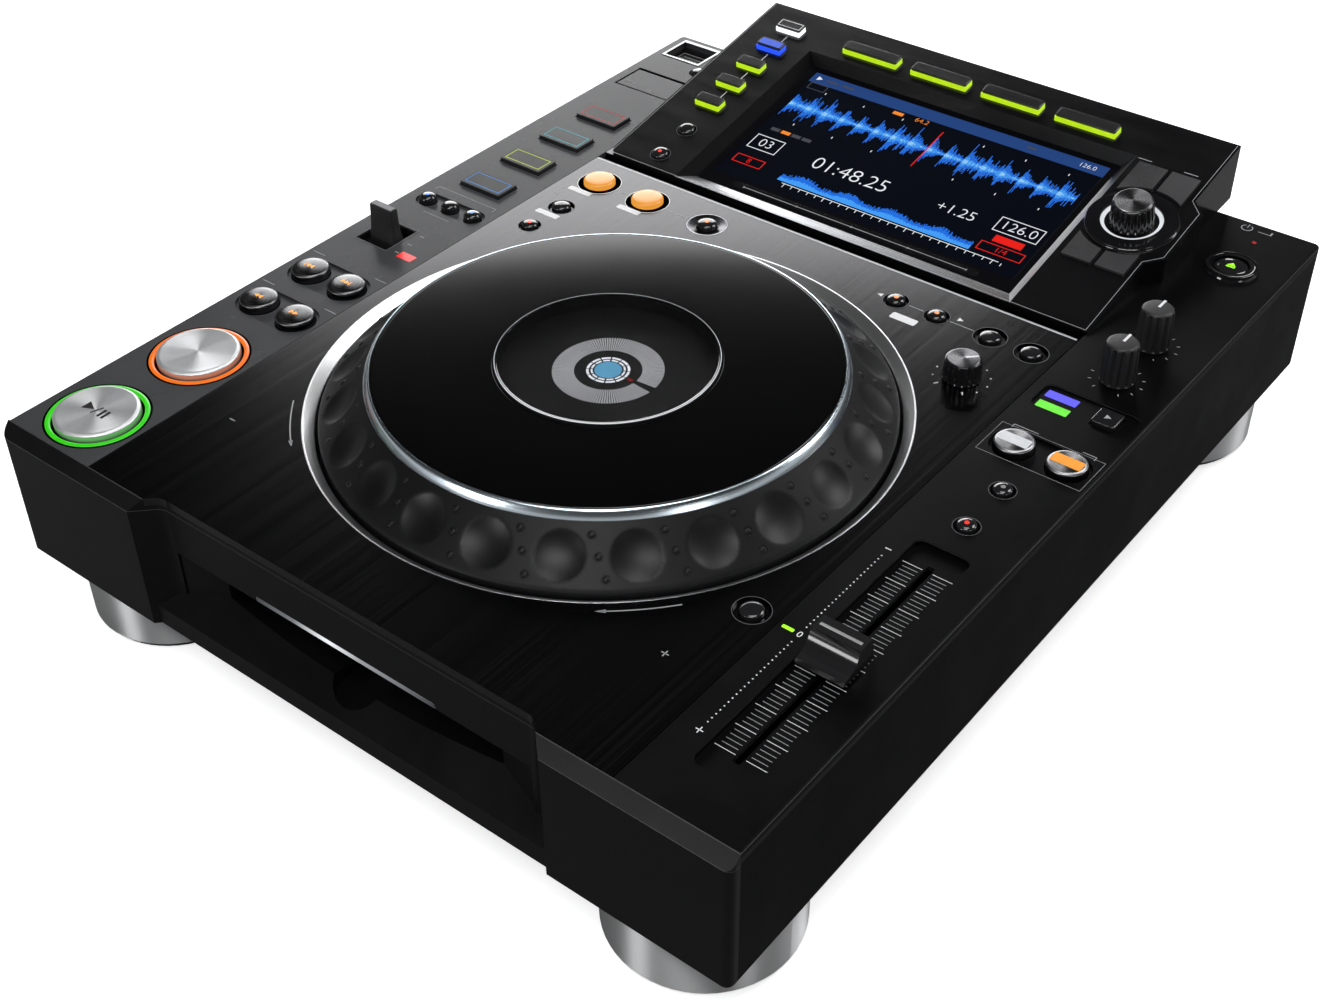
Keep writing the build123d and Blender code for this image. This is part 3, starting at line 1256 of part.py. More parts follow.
# ---- Jog wheel: ring in the panel, well below it, post with the display, and what turns ------------
Z_THROAT = Z_TOP - JOG_RING_DROP
THROAT_RADIUS = JOG_RING_RADIUS - JOG_RING_THROAT
Z_WELL = Z_TOP - WELL_DEPTH
WHEEL_RADIUS = THROAT_RADIUS - WHEEL_GAP
CONE_TOP_RADIUS = WHEEL_RADIUS - WHEEL_CONE_RUN
Z_WHEEL_EDGE = Z_TOP + WHEEL_EDGE_HEIGHT
Z_CONE_TOP = Z_WHEEL_EDGE + WHEEL_CONE_RISE
Z_PLATE_TOP = Z_CONE_TOP + PLATE_THICKNESS
Z_DISPLAY_TOP = Z_PLATE_TOP + DISPLAY_PROUD
Z_HUB_STEP = Z_CONE_TOP - WEB_THICKNESS - HUB_STEP
Z_POST_TOP = Z_HUB_STEP + HUB_STEP / 2
HUB_RADIUS = DISPLAY_RADIUS + DISPLAY_GAP + HUB_WALL
TRIM_RADIUS = CONE_TOP_RADIUS - TRIM_WIDTH


def jog_profile(*points):
    """Plane of a section through the jog wheel's axis: radius, then height."""
    with BuildSketch(Plane(origin=(0, FRONT + JOG_LINE, 0), x_dir=(1, 0, 0), z_dir=(0, -1, 0))) as section:
        Polygon(*points, align=None)
    revolve(section.sketch, Axis((0, FRONT + JOG_LINE, 0), (0, 0, 1)))


with BuildPart() as jog_ring:
    jog_profile(
        (JOG_RING_RADIUS, Z_THROAT - JOG_RING_FOOT),
        (JOG_RING_RADIUS, Z_TOP),
        (JOG_RING_RADIUS - JOG_RING_WIDTH, Z_TOP),
        (THROAT_RADIUS, Z_THROAT),
        (THROAT_RADIUS, Z_THROAT - JOG_RING_FOOT),
    )
save(jog_ring, "jog_ring")

with BuildPart() as jog_base:
    jog_profile(
        (POST_BORE, Z_WELL - WELL_FLOOR),
        (THROAT_RADIUS + WELL_WALL, Z_WELL - WELL_FLOOR),
        (THROAT_RADIUS + WELL_WALL, Z_DECK - WELL_LIP),
        (JOG_RING_RADIUS + WELL_FLANGE, Z_DECK - WELL_LIP),
        (JOG_RING_RADIUS + WELL_FLANGE, Z_DECK),
        (JOG_RING_RADIUS, Z_DECK),
        (JOG_RING_RADIUS, Z_THROAT - JOG_RING_FOOT),
        (THROAT_RADIUS, Z_THROAT - JOG_RING_FOOT),
        (THROAT_RADIUS, Z_WELL),
        (POST_RADIUS, Z_WELL),
        (POST_RADIUS, Z_POST_TOP),
        (POST_BORE, Z_POST_TOP),
    )
save(jog_base, "jog_base")

with BuildPart() as jog_display:
    jog_profile(
        (0, Z_POST_TOP),
        (DISPLAY_RADIUS, Z_POST_TOP),
        (DISPLAY_RADIUS, Z_DISPLAY_TOP),
        (0, Z_DISPLAY_TOP),
    )
    fillet(jog_display.edges().group_by(Axis.Z)[-1], EDGE_ROUND)
save(jog_display, "jog_display")

with BuildPart() as jog_wheel:
    jog_profile(
        (HUB_RADIUS, Z_CONE_TOP - WEB_THICKNESS),
        (CONE_TOP_RADIUS - WHEEL_WALL / 2, Z_CONE_TOP - WEB_THICKNESS),
        (WHEEL_RADIUS - WHEEL_WALL, Z_WHEEL_EDGE - WEB_THICKNESS),
        (WHEEL_RADIUS - WHEEL_WALL, Z_WHEEL_EDGE - WHEEL_SKIRT),
        (WHEEL_RADIUS, Z_WHEEL_EDGE - WHEEL_SKIRT),
        (WHEEL_RADIUS, Z_WHEEL_EDGE),
        (CONE_TOP_RADIUS, Z_CONE_TOP),
        (HUB_RADIUS, Z_CONE_TOP),
    )
    # Finger dimples: shallow balls sunk in the middle of the cone
    ball_radius = (DIMPLE_RADIUS ** 2 + DIMPLE_DEPTH ** 2) / (2 * DIMPLE_DEPTH)
    cone_length = (WHEEL_CONE_RUN ** 2 + WHEEL_CONE_RISE ** 2) ** 0.5
    stand_off = ball_radius - DIMPLE_DEPTH
    ball_reach = WHEEL_RADIUS - WHEEL_CONE_RUN / 2 + stand_off * WHEEL_CONE_RISE / cone_length
    ball_height = Z_WHEEL_EDGE + WHEEL_CONE_RISE / 2 + stand_off * WHEEL_CONE_RUN / cone_length
    with Locations((0, FRONT + JOG_LINE, ball_height)):
        with PolarLocations(ball_reach, DIMPLE_COUNT):
            Sphere(ball_radius, mode=Mode.SUBTRACT)
save(jog_wheel, "jog_wheel")

with BuildPart() as jog_plate:
    jog_profile(
        (POST_RADIUS + HUB_FIT, Z_WELL + HUB_FIT),
        (HUB_RADIUS, Z_WELL + HUB_FIT),
        (HUB_RADIUS, Z_CONE_TOP),
        (TRIM_RADIUS, Z_CONE_TOP),
        (TRIM_RADIUS, Z_PLATE_TOP),
        (DISPLAY_RADIUS + DISPLAY_GAP, Z_PLATE_TOP),
        (DISPLAY_RADIUS + DISPLAY_GAP, Z_HUB_STEP),
        (POST_RADIUS + HUB_FIT, Z_HUB_STEP),
    )
save(jog_plate, "jog_plate")

with BuildPart() as jog_trim:
    jog_profile(
        (TRIM_RADIUS, Z_CONE_TOP),
        (CONE_TOP_RADIUS, Z_CONE_TOP),
        (CONE_TOP_RADIUS - TRIM_LEAN, Z_PLATE_TOP),
        (TRIM_RADIUS, Z_PLATE_TOP),
    )
save(jog_trim, "jog_trim")

# ---- Disc drive and its turntable -------------------------------------------------------------------
BAY_BACK = BEZEL_DEPTH + DISC_DIAMETER + BAY_END_ROOM
TURNTABLE_LINE = BAY_BACK - BAY_END_ROOM / 2 - DISC_DIAMETER / 2
TURNTABLE_PLACE = (0, TURNTABLE_LINE)
Z_TURNTABLE = Z_BAY - TURNTABLE_SINK
Z_CAVITY = Z_DRIVE + DRIVE_SHEET
PICKUP_LINE = TURNTABLE_LINE + TURNTABLE_RADIUS + PICKUP_RUN / 2
with BuildPart() as disc_drive:
    with BuildSketch(plan(Z_DRIVE)):
        box_outline(-DRIVE_HALF, DRIVE_HALF, BEZEL_DEPTH, BEZEL_DEPTH + DRIVE_RUN)
    extrude(amount=Z_DRIVE_TOP - Z_DRIVE)
    with BuildSketch(facing(BEZEL_DEPTH)):
        box_outline(-SLOT_HALF, SLOT_HALF, Z_BAY, Z_BAY + BAY_HEIGHT)
    extrude(amount=BEZEL_DEPTH - BAY_BACK, mode=Mode.SUBTRACT)
    with BuildSketch(plan(Z_CAVITY)):
        box_outline(-SLOT_HALF, SLOT_HALF, BEZEL_DEPTH + DRIVE_WALL, BAY_BACK)
    extrude(amount=DRIVE_BELOW - 2 * DRIVE_SHEET, mode=Mode.SUBTRACT)
    with BuildSketch(plan(Z_CAVITY)):
        with Locations(TURNTABLE_PLACE):
            Circle(TURNTABLE_RADIUS + DISPLAY_GAP)
        with Locations((0, PICKUP_LINE)):
            Rectangle(2 * PICKUP_HALF_WIDTH, PICKUP_RUN)
    extrude(amount=Z_BAY - Z_CAVITY, mode=Mode.SUBTRACT)
    with BuildSketch(plan(Z_CAVITY)):
        with Locations(TURNTABLE_PLACE):
            Circle(MOTOR_RADIUS)
            Circle(SPINDLE_RADIUS + SPINDLE_FIT, mode=Mode.SUBTRACT)
    extrude(amount=MOTOR_HEIGHT)
save(disc_drive, "disc_drive")

with BuildPart() as turntable:
    with BuildSketch(plan(Z_TURNTABLE)):
        with Locations(TURNTABLE_PLACE):
            Circle(TURNTABLE_RADIUS)
    extrude(amount=-TURNTABLE_HEIGHT)
    with BuildSketch(plan(Z_TURNTABLE - TURNTABLE_HEIGHT)):
        with Locations(TURNTABLE_PLACE):
            Circle(SPINDLE_RADIUS)
    extrude(amount=Z_CAVITY + SPINDLE_FIT - Z_TURNTABLE + TURNTABLE_HEIGHT)
save(turntable, "turntable")

with BuildPart() as main_board:
    with BuildSketch(plan(Z_BOARD)):
        box_outline(-BOARD_HALF_WIDTH, BOARD_HALF_WIDTH, BOARD_BACK - BOARD_RUN, BOARD_BACK)
    extrude(amount=BOARD_THICKNESS)
    with BuildSketch(plan(Z_BOARD + BOARD_THICKNESS)):
        with Locations((0, BOARD_BACK - BOARD_RUN / 2)):
            with GridLocations(BOARD_HALF_WIDTH / 2, BOARD_RUN / 3, 3, 2):
                Rectangle(CHIP_SIZE, CHIP_SIZE)
    extrude(amount=CHIP_HEIGHT)
save(main_board, "main_board")

# ---- Display module ---------------------------------------------------------------------------------
MODULE_BACK = OVERALL_DEPTH
Z_MODULE_BACK = module_z(MODULE_BACK)
Z_MODULE_HEEL = Z_MODULE_BACK - MODULE_BACK_HEIGHT
CAVITY_FRONT = MODULE_FRONT + SHELL
CAVITY_BACK = MODULE_BACK - SHELL
SOURCE_PLACES = [(SOURCE_X, SOURCE_S + step * SOURCE_PITCH) for step in range(SOURCE_COUNT)]
MENU_PLACES = [(MENU_X + step * MENU_PITCH, MENU_S) for step in range(MENU_COUNT)]
SELECTOR_PLACE = (SELECTOR_X, SELECTOR_S)


def pod_line(s):
    """Plan distance behind the front face of a place s along the module's face."""
    return MODULE_FRONT + s * cos(TILT)


def nav_sketch(plane, margin):
    """Four keys around the selector, cut back to an arc around it; margin grows them."""
    with BuildSketch(plane) as keys:
        for left, right in (NAV_X[0:2], NAV_X[2:4]):
            box_outline(left - margin, right + margin, NAV_S[0] - margin, NAV_S[1] + margin)
        with Locations(SELECTOR_PLACE):
            Circle(NAV_ARC - margin, mode=Mode.SUBTRACT)
            Rectangle(2 * NAV_ARC, NAV_ARC, mode=Mode.SUBTRACT)
    return keys.sketch


with BuildPart() as display_housing:
    # Wedge on the deck, trimmed to its plan with the pod on its right side
    with BuildSketch(profile(MODULE_LEFT_X)):
        Polygon(
            (MODULE_FRONT, Z_TOP),
            (BODY_DEPTH, Z_TOP),
            (MODULE_BACK, Z_MODULE_HEEL),
            (MODULE_BACK, Z_MODULE_BACK),
            (MODULE_FRONT, module_z(MODULE_FRONT)),
            align=None,
        )
    extrude(amount=MODULE_RIGHT_X + POD_BULGE - MODULE_LEFT_X)
    with BuildSketch(plan(Z_TOP)) as module_plan:
        Polygon(
            (MODULE_LEFT_X, MODULE_FRONT),
            (MODULE_RIGHT_X, MODULE_FRONT),
            (MODULE_RIGHT_X, pod_line(POD_S[0])),
            (MODULE_RIGHT_X + POD_BULGE, pod_line(POD_S[1])),
            (MODULE_RIGHT_X + POD_BULGE, pod_line(POD_S[2])),
            (MODULE_RIGHT_X, pod_line(POD_S[3])),
            (MODULE_RIGHT_X, MODULE_BACK),
            (MODULE_LEFT_X, MODULE_BACK),
            align=None,
        )
        fillet(module_plan.vertices().sort_by(Axis.X)[0:2].sort_by(Axis.Y)[0], MODULE_CORNER)
    extrude(amount=Z_MODULE_BACK - Z_TOP, mode=Mode.INTERSECT)
    # Sill that drops into the panel's window
    with BuildSketch(plan(Z_TOP)):
        box_outline(HOLLOW_LEFT, HOLLOW_RIGHT, MODULE_FRONT, CAVITY_FRONT)
    extrude(amount=-SILL_DEPTH)
    # Hollow under the face
    with BuildSketch(profile(HOLLOW_LEFT)):
        Polygon(
            (CAVITY_FRONT, Z_TOP - SILL_DEPTH),
            (BODY_DEPTH - WINDOW_RIM, Z_TOP - SILL_DEPTH),
            (BODY_DEPTH - WINDOW_RIM, Z_TOP),
            (CAVITY_BACK, Z_MODULE_HEEL + SHELL),
            (CAVITY_BACK, module_z(CAVITY_BACK, SHELL)),
            (CAVITY_FRONT, module_z(CAVITY_FRONT, SHELL)),
            align=None,
        )
    extrude(amount=HOLLOW_RIGHT - HOLLOW_LEFT, mode=Mode.SUBTRACT)
    # Tub that holds the screen
    with BuildSketch(FACE):
        box_outline(
            SCREEN_TOP[0] - TUB_WALL,
            SCREEN_TOP[1] + TUB_WALL,
            0,
            SCREEN_TOP[3] + TUB_WALL,
        )
    extrude(amount=-(SCREEN_SINK + GLASS_THICKNESS + TUB_WALL))
    with BuildSketch(FACE):
        box_outline(*SCREEN_TOP)
    with BuildSketch(FACE.offset(-SCREEN_SINK)):
        box_outline(*SCREEN_FLOOR)
    loft(mode=Mode.SUBTRACT)
    with BuildSketch(FACE.offset(-SCREEN_SINK)):
        box_outline(*SCREEN_FLOOR)
    extrude(amount=-GLASS_THICKNESS, mode=Mode.SUBTRACT)
    # Raised ring around the selector, and the holes for keys and knob
    with BuildSketch(FACE):
        with Locations(SELECTOR_PLACE):
            Circle(SELECTOR_RING[1])
    extrude(amount=SELECTOR_RING_HEIGHT, taper=SELECTOR_RING_SLOPE)
    with BuildSketch(FACE.offset(SELECTOR_RING_HEIGHT)):
        with Locations(SELECTOR_PLACE):
            Circle(SELECTOR_RING[0])
    extrude(amount=-SELECTOR_RING_HEIGHT, mode=Mode.SUBTRACT)
    extrude(nav_sketch(FACE, KEY_GAP), amount=-SHELL, mode=Mode.SUBTRACT)
    cut_round_keys(FACE_KEYS, FACE, SHELL)
    cut_blocks(SOURCE_PLACES, SOURCE_SIZE, FACE, SHELL)
    cut_blocks(MENU_PLACES, MENU_SIZE, FACE, SHELL)
    cut_shafts([SELECTOR_PLACE], FACE, SHELL)
save(display_housing, "display_housing")

with BuildPart() as screen:
    with BuildSketch(FACE.offset(-SCREEN_SINK)):
        box_outline(*SCREEN_FLOOR)
    extrude(amount=-GLASS_THICKNESS)
save(screen, "screen")

make_round_keys(FACE_KEYS, FACE, SHELL)
make_block_keys("source_buttons", SOURCE_PLACES, SOURCE_SIZE, MODULE_KEY_RISE, FACE, SHELL)
make_block_keys("menu_buttons", MENU_PLACES, MENU_SIZE, MODULE_KEY_RISE, FACE, SHELL)
make_knob(
    "selector_knob",
    SELECTOR_PLACE,
    FACE,
    SHELL,
    SELECTOR_RADIUS,
    SELECTOR_HEIGHT,
    SELECTOR_FLUTES,
)

with BuildPart() as nav_buttons:
    nav_stop = SHELL + KEY_LIFT_GAP
    extrude(nav_sketch(FACE.offset(-nav_stop), 0), amount=nav_stop + NAV_RISE)
    extrude(nav_sketch(FACE.offset(-nav_stop), NAV_FLANGE), amount=-KEY_FLANGE_HEIGHT)
save(nav_buttons, "nav_buttons")
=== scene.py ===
import json
import random
from math import atan2, cos, hypot, pi, radians, sin, sqrt

import bmesh
import bpy
from mathutils import Matrix, Vector

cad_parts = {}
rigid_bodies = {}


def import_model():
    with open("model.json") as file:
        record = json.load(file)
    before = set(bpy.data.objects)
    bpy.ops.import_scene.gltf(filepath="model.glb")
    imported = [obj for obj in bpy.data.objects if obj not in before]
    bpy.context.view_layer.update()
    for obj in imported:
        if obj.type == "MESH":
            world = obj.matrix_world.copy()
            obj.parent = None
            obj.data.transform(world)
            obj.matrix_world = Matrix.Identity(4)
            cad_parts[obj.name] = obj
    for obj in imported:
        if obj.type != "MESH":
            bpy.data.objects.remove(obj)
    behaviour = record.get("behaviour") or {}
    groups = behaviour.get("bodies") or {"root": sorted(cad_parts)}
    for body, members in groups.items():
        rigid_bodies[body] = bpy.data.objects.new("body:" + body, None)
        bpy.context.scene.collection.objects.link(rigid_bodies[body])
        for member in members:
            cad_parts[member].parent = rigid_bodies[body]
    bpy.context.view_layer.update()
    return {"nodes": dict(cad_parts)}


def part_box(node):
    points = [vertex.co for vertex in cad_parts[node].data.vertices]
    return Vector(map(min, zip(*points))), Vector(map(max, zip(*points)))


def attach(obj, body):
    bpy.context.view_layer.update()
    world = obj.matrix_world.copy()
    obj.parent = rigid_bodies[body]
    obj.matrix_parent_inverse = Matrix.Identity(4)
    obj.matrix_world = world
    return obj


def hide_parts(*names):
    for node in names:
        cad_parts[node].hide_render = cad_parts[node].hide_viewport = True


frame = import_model()

# ---- Places: millimetres, x to the user's right, y behind the front face, z above the table ----
MM = 0.001
FRONT = -202.85
Z_TOP = 83.6
LEFT_LINE = -136.5
RIGHT_LINE = 138.3
JOG_LINE = 143.5
MODULE_FRONT = 281.8
MODULE_RISE = 0.7
TILT = radians(11.0)
INK = 0.05                   # how far printing stands on its surface


def spot(x, y, z):
    return Vector((x, FRONT + y, z)) * MM


def around(x, y, z=Z_TOP):
    """Frame of an upright axis through a place."""
    return Matrix.Translation(spot(x, y, z)) @ Matrix.Scale(MM, 4)


def deck(height=Z_TOP):
    """Frame of a level surface: x, the distance behind the front face, and the height above it."""
    return around(0, 0, height)


def face(x=0.0, s=0.0, height=0.0):
    """Frame of the module's face: x, s up the slope from its front edge, and the height above it."""
    base = Matrix.Translation(spot(0, MODULE_FRONT, Z_TOP + MODULE_RISE)) @ Matrix.Rotation(TILT, 4, "X")
    return base @ Matrix.Scale(MM, 4) @ Matrix.Translation((x, s, height))


# ---- Materials ----
def shade(color, factor):
    return tuple(min(1.0, channel * factor) for channel in color)


class Nodes:
    """The node tree of a new material or a given owner, with short ways to add nodes and to join them."""

    def __init__(self, owner):
        self.owner = bpy.data.materials.new(owner) if isinstance(owner, str) else owner
        self.owner.use_nodes = True
        self.tree = self.owner.node_tree
        self.shader = self.tree.nodes.get("Principled BSDF") or self.tree.nodes["Background"]

    def add(self, kind, *sources, **settings):
        """A node with its settings; the sources go to its first sockets."""
        node = self.tree.nodes.new("ShaderNode" + kind)
        for key, value in settings.items():
            setattr(node, key, value)
        for source, socket in zip(sources, node.inputs):
            self.join(source, socket)
        return node

    def join(self, source, socket):
        """Feeds a socket with another one, or sets a constant on it."""
        if isinstance(source, bpy.types.NodeSocket):
            self.tree.links.new(source, socket)
        else:
            socket.default_value = source

    def fit(self, **sources):
        """Feeds the shader's sockets, named with _ for a space, and hands back the tree's owner."""
        for name, source in sources.items():
            self.join(source, self.shader.inputs[name.replace("_", " ")])
        return self.owner

    def math(self, operation, *sources):
        return self.add("Math", *sources, operation=operation).outputs["Value"]

    def place(self, scale=(1.0, 1.0, 1.0), origin=(0.0, 0.0, 0.0)):
        """Coordinates on the object in millimetres from a place, stretched by a scale."""
        mapping = self.add("Mapping", self.add("TexCoord").outputs["Object"], vector_type="POINT")
        mapping.inputs["Scale"].default_value = [s / MM for s in scale]
        mapping.inputs["Location"].default_value = [-o * s / MM for o, s in zip(origin, scale)]
        return mapping.outputs["Vector"]

    def noise(self, scale, detail=4.0, rough=0.6):
        """Noise; the scale is one number, one for each axis, or coordinates that have it already."""
        if isinstance(scale, float):
            scale = (scale, scale, scale)
        vector = scale if isinstance(scale, bpy.types.NodeSocket) else self.place(scale)
        node = self.add("TexNoise")
        for name, source in (("Vector", vector), ("Scale", 1.0), ("Detail", detail), ("Roughness", rough)):
            self.join(source, node.inputs[name])
        return node.outputs["Fac"]

    def spread(self, value, low, high, start=0.3, end=0.7):
        """A value between start and end turned into one between low and high."""
        return self.add("MapRange", value, start, end, low, high).outputs["Result"]

    def ramp(self, value, *stops):
        """Colours along a value: each stop is a position and a colour."""
        node = self.add("ValToRGB", value)
        elements = node.color_ramp.elements
        while len(elements) < len(stops):
            elements.new(0.5)
        for element, (position, color) in zip(elements, stops):
            element.position = position
            element.color = (*color, 1.0)
        return node.outputs["Color"]

    def tones(self, value, color, low, high, start=0.3, end=0.7):
        """Shades of one colour along a value."""
        return self.ramp(value, (start, shade(color, low)), (end, shade(color, high)))

    def mix(self, share, low, high):
        """One colour where the share is 0, the other where it is 1."""
        node = self.add("Mix", share, data_type="RGBA")
        self.join(low, node.inputs[6])
        self.join(high, node.inputs[7])
        return node.outputs[2]

    def bump(self, value, height):
        """Relief of a height in millimetres."""
        node = self.add("Bump")
        for name, source in (("Strength", 1.0), ("Distance", height * MM), ("Height", value)):
            self.join(source, node.inputs[name])
        return node.outputs["Normal"]


def moulded(
    name, color, rough=0.42, grain=0.02, pitch=0.5, metal=0.0, mottle=0.18, specular=0.35, cloud=0.045
):
    """Moulded or painted surface: a fine grain, and a tone and a gloss that vary by mottle and cloud."""
    n = Nodes(name)
    broad = n.noise(0.03, 5.0)
    return n.fit(
        Base_Color=n.tones(broad, color, 1 - mottle, 1 + mottle),
        Roughness=n.spread(broad, rough - cloud, rough + cloud),
        Normal=n.bump(n.noise(1 / pitch, 3.0), grain),
        Metallic=metal,
        Specular_IOR_Level=specular,
    )


def brushed(name, color, rough=0.34, stretch=(1.6, 0.012, 1.6), contrast=0.35, depth=0.004):
    """Metal brushed along one axis: long thin streaks in tone, gloss and relief."""
    n = Nodes(name)
    streaks = n.noise(stretch, 6.0, 0.75)
    both = n.math("MULTIPLY", streaks, n.noise([s * 0.2 for s in stretch], 3.0))
    return n.fit(
        Base_Color=n.tones(streaks, color, 1 - contrast, 1 + contrast, 0.25, 0.75),
        Roughness=n.spread(both, rough * 0.85, rough * 1.25, 0.1, 0.45),
        Normal=n.bump(streaks, depth),
        Metallic=1.0,
    )


def turned(
    name, color, places, rough=0.28, pitch=0.3, depth=0.001, anisotropy=0.85, axis=(0, 0, 1), metal=1.0
):
    """Metal turned on a lathe: fine rings around the nearest of some places, which throw bright fans."""
    n = Nodes(name)
    coordinates = n.add("TexCoord").outputs["Object"]
    nearest = None
    for place in places:
        away = n.add("VectorMath", coordinates, place, operation="SUBTRACT").outputs["Vector"]
        across = n.add("VectorMath", axis, away, operation="CROSS_PRODUCT").outputs["Vector"]
        reach = n.add("VectorMath", across, operation="LENGTH").outputs["Value"]
        if nearest is None:
            nearest = (across, reach)
            continue
        nearer = n.math("LESS_THAN", reach, nearest[1])
        pick = n.add("Mix", data_type="VECTOR")
        for number, source in ((0, nearer), (4, nearest[0]), (5, across)):
            n.join(source, pick.inputs[number])
        nearest = (pick.outputs[1], n.math("MINIMUM", reach, nearest[1]))
    rings = n.math("MULTIPLY", nearest[1], 1 / (pitch * MM))
    fine = n.noise(n.add("CombineXYZ", rings).outputs["Vector"], 5.0, 0.7)
    return n.fit(
        Base_Color=n.tones(fine, color, 0.82, 1.12, 0.25, 0.75),
        Roughness=n.spread(fine, rough - 0.05, rough + 0.06),
        Normal=n.bump(fine, depth),
        Tangent=nearest[0],
        Anisotropic=anisotropy,
        Metallic=metal,
    )


def gloss(name, color, rough=0.06, wave=0.01, dust=0.06, coat=0.3, specular=0.5):
    """Lacquered or polished plastic: nearly flat, with a trace of orange peel, wipe marks and dust."""
    n = Nodes(name)
    wipe = n.noise((0.02, 0.09, 0.02), 6.0, 0.7)
    dusty = n.math("MULTIPLY", n.spread(n.noise(3.0, 2.0), 0.0, 1.0, 0.68, 0.75), dust)
    return n.fit(
        Base_Color=n.tones(wipe, color, 0.85, 1.15),
        Roughness=n.math("ADD", n.spread(wipe, rough * 0.9, rough * 1.2), dusty),
        Normal=n.bump(n.noise(0.35, 2.0), wave),
        Specular_IOR_Level=specular,
        Coat_Weight=coat,
        Coat_Roughness=0.03,
    )


def lit(name, color, strength):
    """Light guide or lit window: slightly uneven light behind a satin surface."""
    n = Nodes(name)
    cloud = n.noise(0.25, 2.0)
    return n.fit(
        Emission_Color=n.tones(cloud, color, 0.88, 1.0),
        Base_Color=n.tones(cloud, color, 0.10, 0.14),
        Emission_Strength=strength,
        Roughness=0.3,
    )


def along(n, axis, centre, reach):
    """A value that rises from 0 to 1 along an axis of the object, from the centre less the reach on."""
    scale = [0.0, 0.0, 0.0]
    scale["XYZ".index(axis)] = 0.5 / reach
    return n.math("ADD", n.add("SeparateXYZ", n.place(scale, centre)).outputs[axis], 0.5)


def lit_along(name, strength, axis, centre, reach, *stops):
    """Lit surface whose colour changes along an axis of the object."""
    n = Nodes(name)
    value = along(n, axis, centre, reach)
    return n.fit(
        Emission_Color=n.ramp(value, *stops),
        Base_Color=n.ramp(value, *[(position, shade(color, 0.10)) for position, color in stops]),
        Emission_Strength=strength,
        Roughness=0.25,
    )


def printed(name, color, glow=0.0, rough=0.5):
    """Screen-printed ink with its fine unevenness, also used for painted highlight lines; a glow makes it
    shine by itself.
    """
    n = Nodes(name)
    fine = n.noise(4.0, 2.0)
    tone = n.tones(fine, color, 0.85, 1.0)
    if glow:
        n.fit(Emission_Color=tone, Emission_Strength=glow)
    return n.fit(Base_Color=tone, Normal=n.bump(fine, 0.004), Roughness=rough, Specular_IOR_Level=0.2)


def shown(name, color):
    """A colour on a lit screen, under a clear cover: it shines by itself and takes up little light."""
    n = Nodes(name)
    cells = n.noise(3.0, 1.0)
    return n.fit(
        Emission_Color=n.tones(cells, color, 0.94, 1.0),
        Base_Color=n.tones(cells, color, 0.05, 0.08),
        Emission_Strength=1.0,
        Roughness=0.12,
        Specular_IOR_Level=0.4,
    )


def with_lines(material, *lines):
    """Adds level lines to a finish, such as dark gaps and painted edge highlights: each is its height above
    the table, its width and its colour.
    """
    n = Nodes(material)
    tone = n.shader.inputs["Base Color"]
    for height, width, color in lines:
        split = n.add("SeparateXYZ", n.add("TexCoord").outputs["Object"])
        near = n.math("COMPARE", split.outputs["Z"], height * MM, width * MM / 2)
        n.join(n.mix(near, tone.links[0].from_socket, (*color, 1.0)), tone)


# ---- Mesh building ----
SHARP_ANGLE = 32.0           # degrees from which on an edge is rounded
MERGE_REACH = 0.0005         # points closer than this become one
ARC_STEPS = 5                # faces around a rounded corner
CORNERS = ((-1, -1), (1, -1), (1, 1), (-1, 1))


def angles(count):
    return [2 * pi * i / count for i in range(count)]


def rounded(width, depth, radius):
    """Corners of a rectangle around the origin, rounded by a radius."""
    if not radius:
        return [(sx * width / 2, sy * depth / 2) for sx, sy in CORNERS]
    points = []
    for corner, (sx, sy) in enumerate(((1, 1), (-1, 1), (-1, -1), (1, -1))):
        for i in range(ARC_STEPS + 1):
            a = pi / 2 * (corner + i / ARC_STEPS)
            points.append((
                sx * (width / 2 - radius) + radius * cos(a),
                sy * (depth / 2 - radius) + radius * sin(a),
            ))
    return points


def turned_points(points, x, y, turn=0.0):
    return [(x + px * cos(turn) - py * sin(turn), y + px * sin(turn) + py * cos(turn)) for px, py in points]


def round_edges(piece, width):
    modifier = piece.modifiers.new("edges", "BEVEL")
    modifier.width = width * MM
    modifier.segments = 2
    modifier.limit_method = "ANGLE"
    modifier.angle_limit = radians(SHARP_ANGLE)
    modifier.harden_normals = True


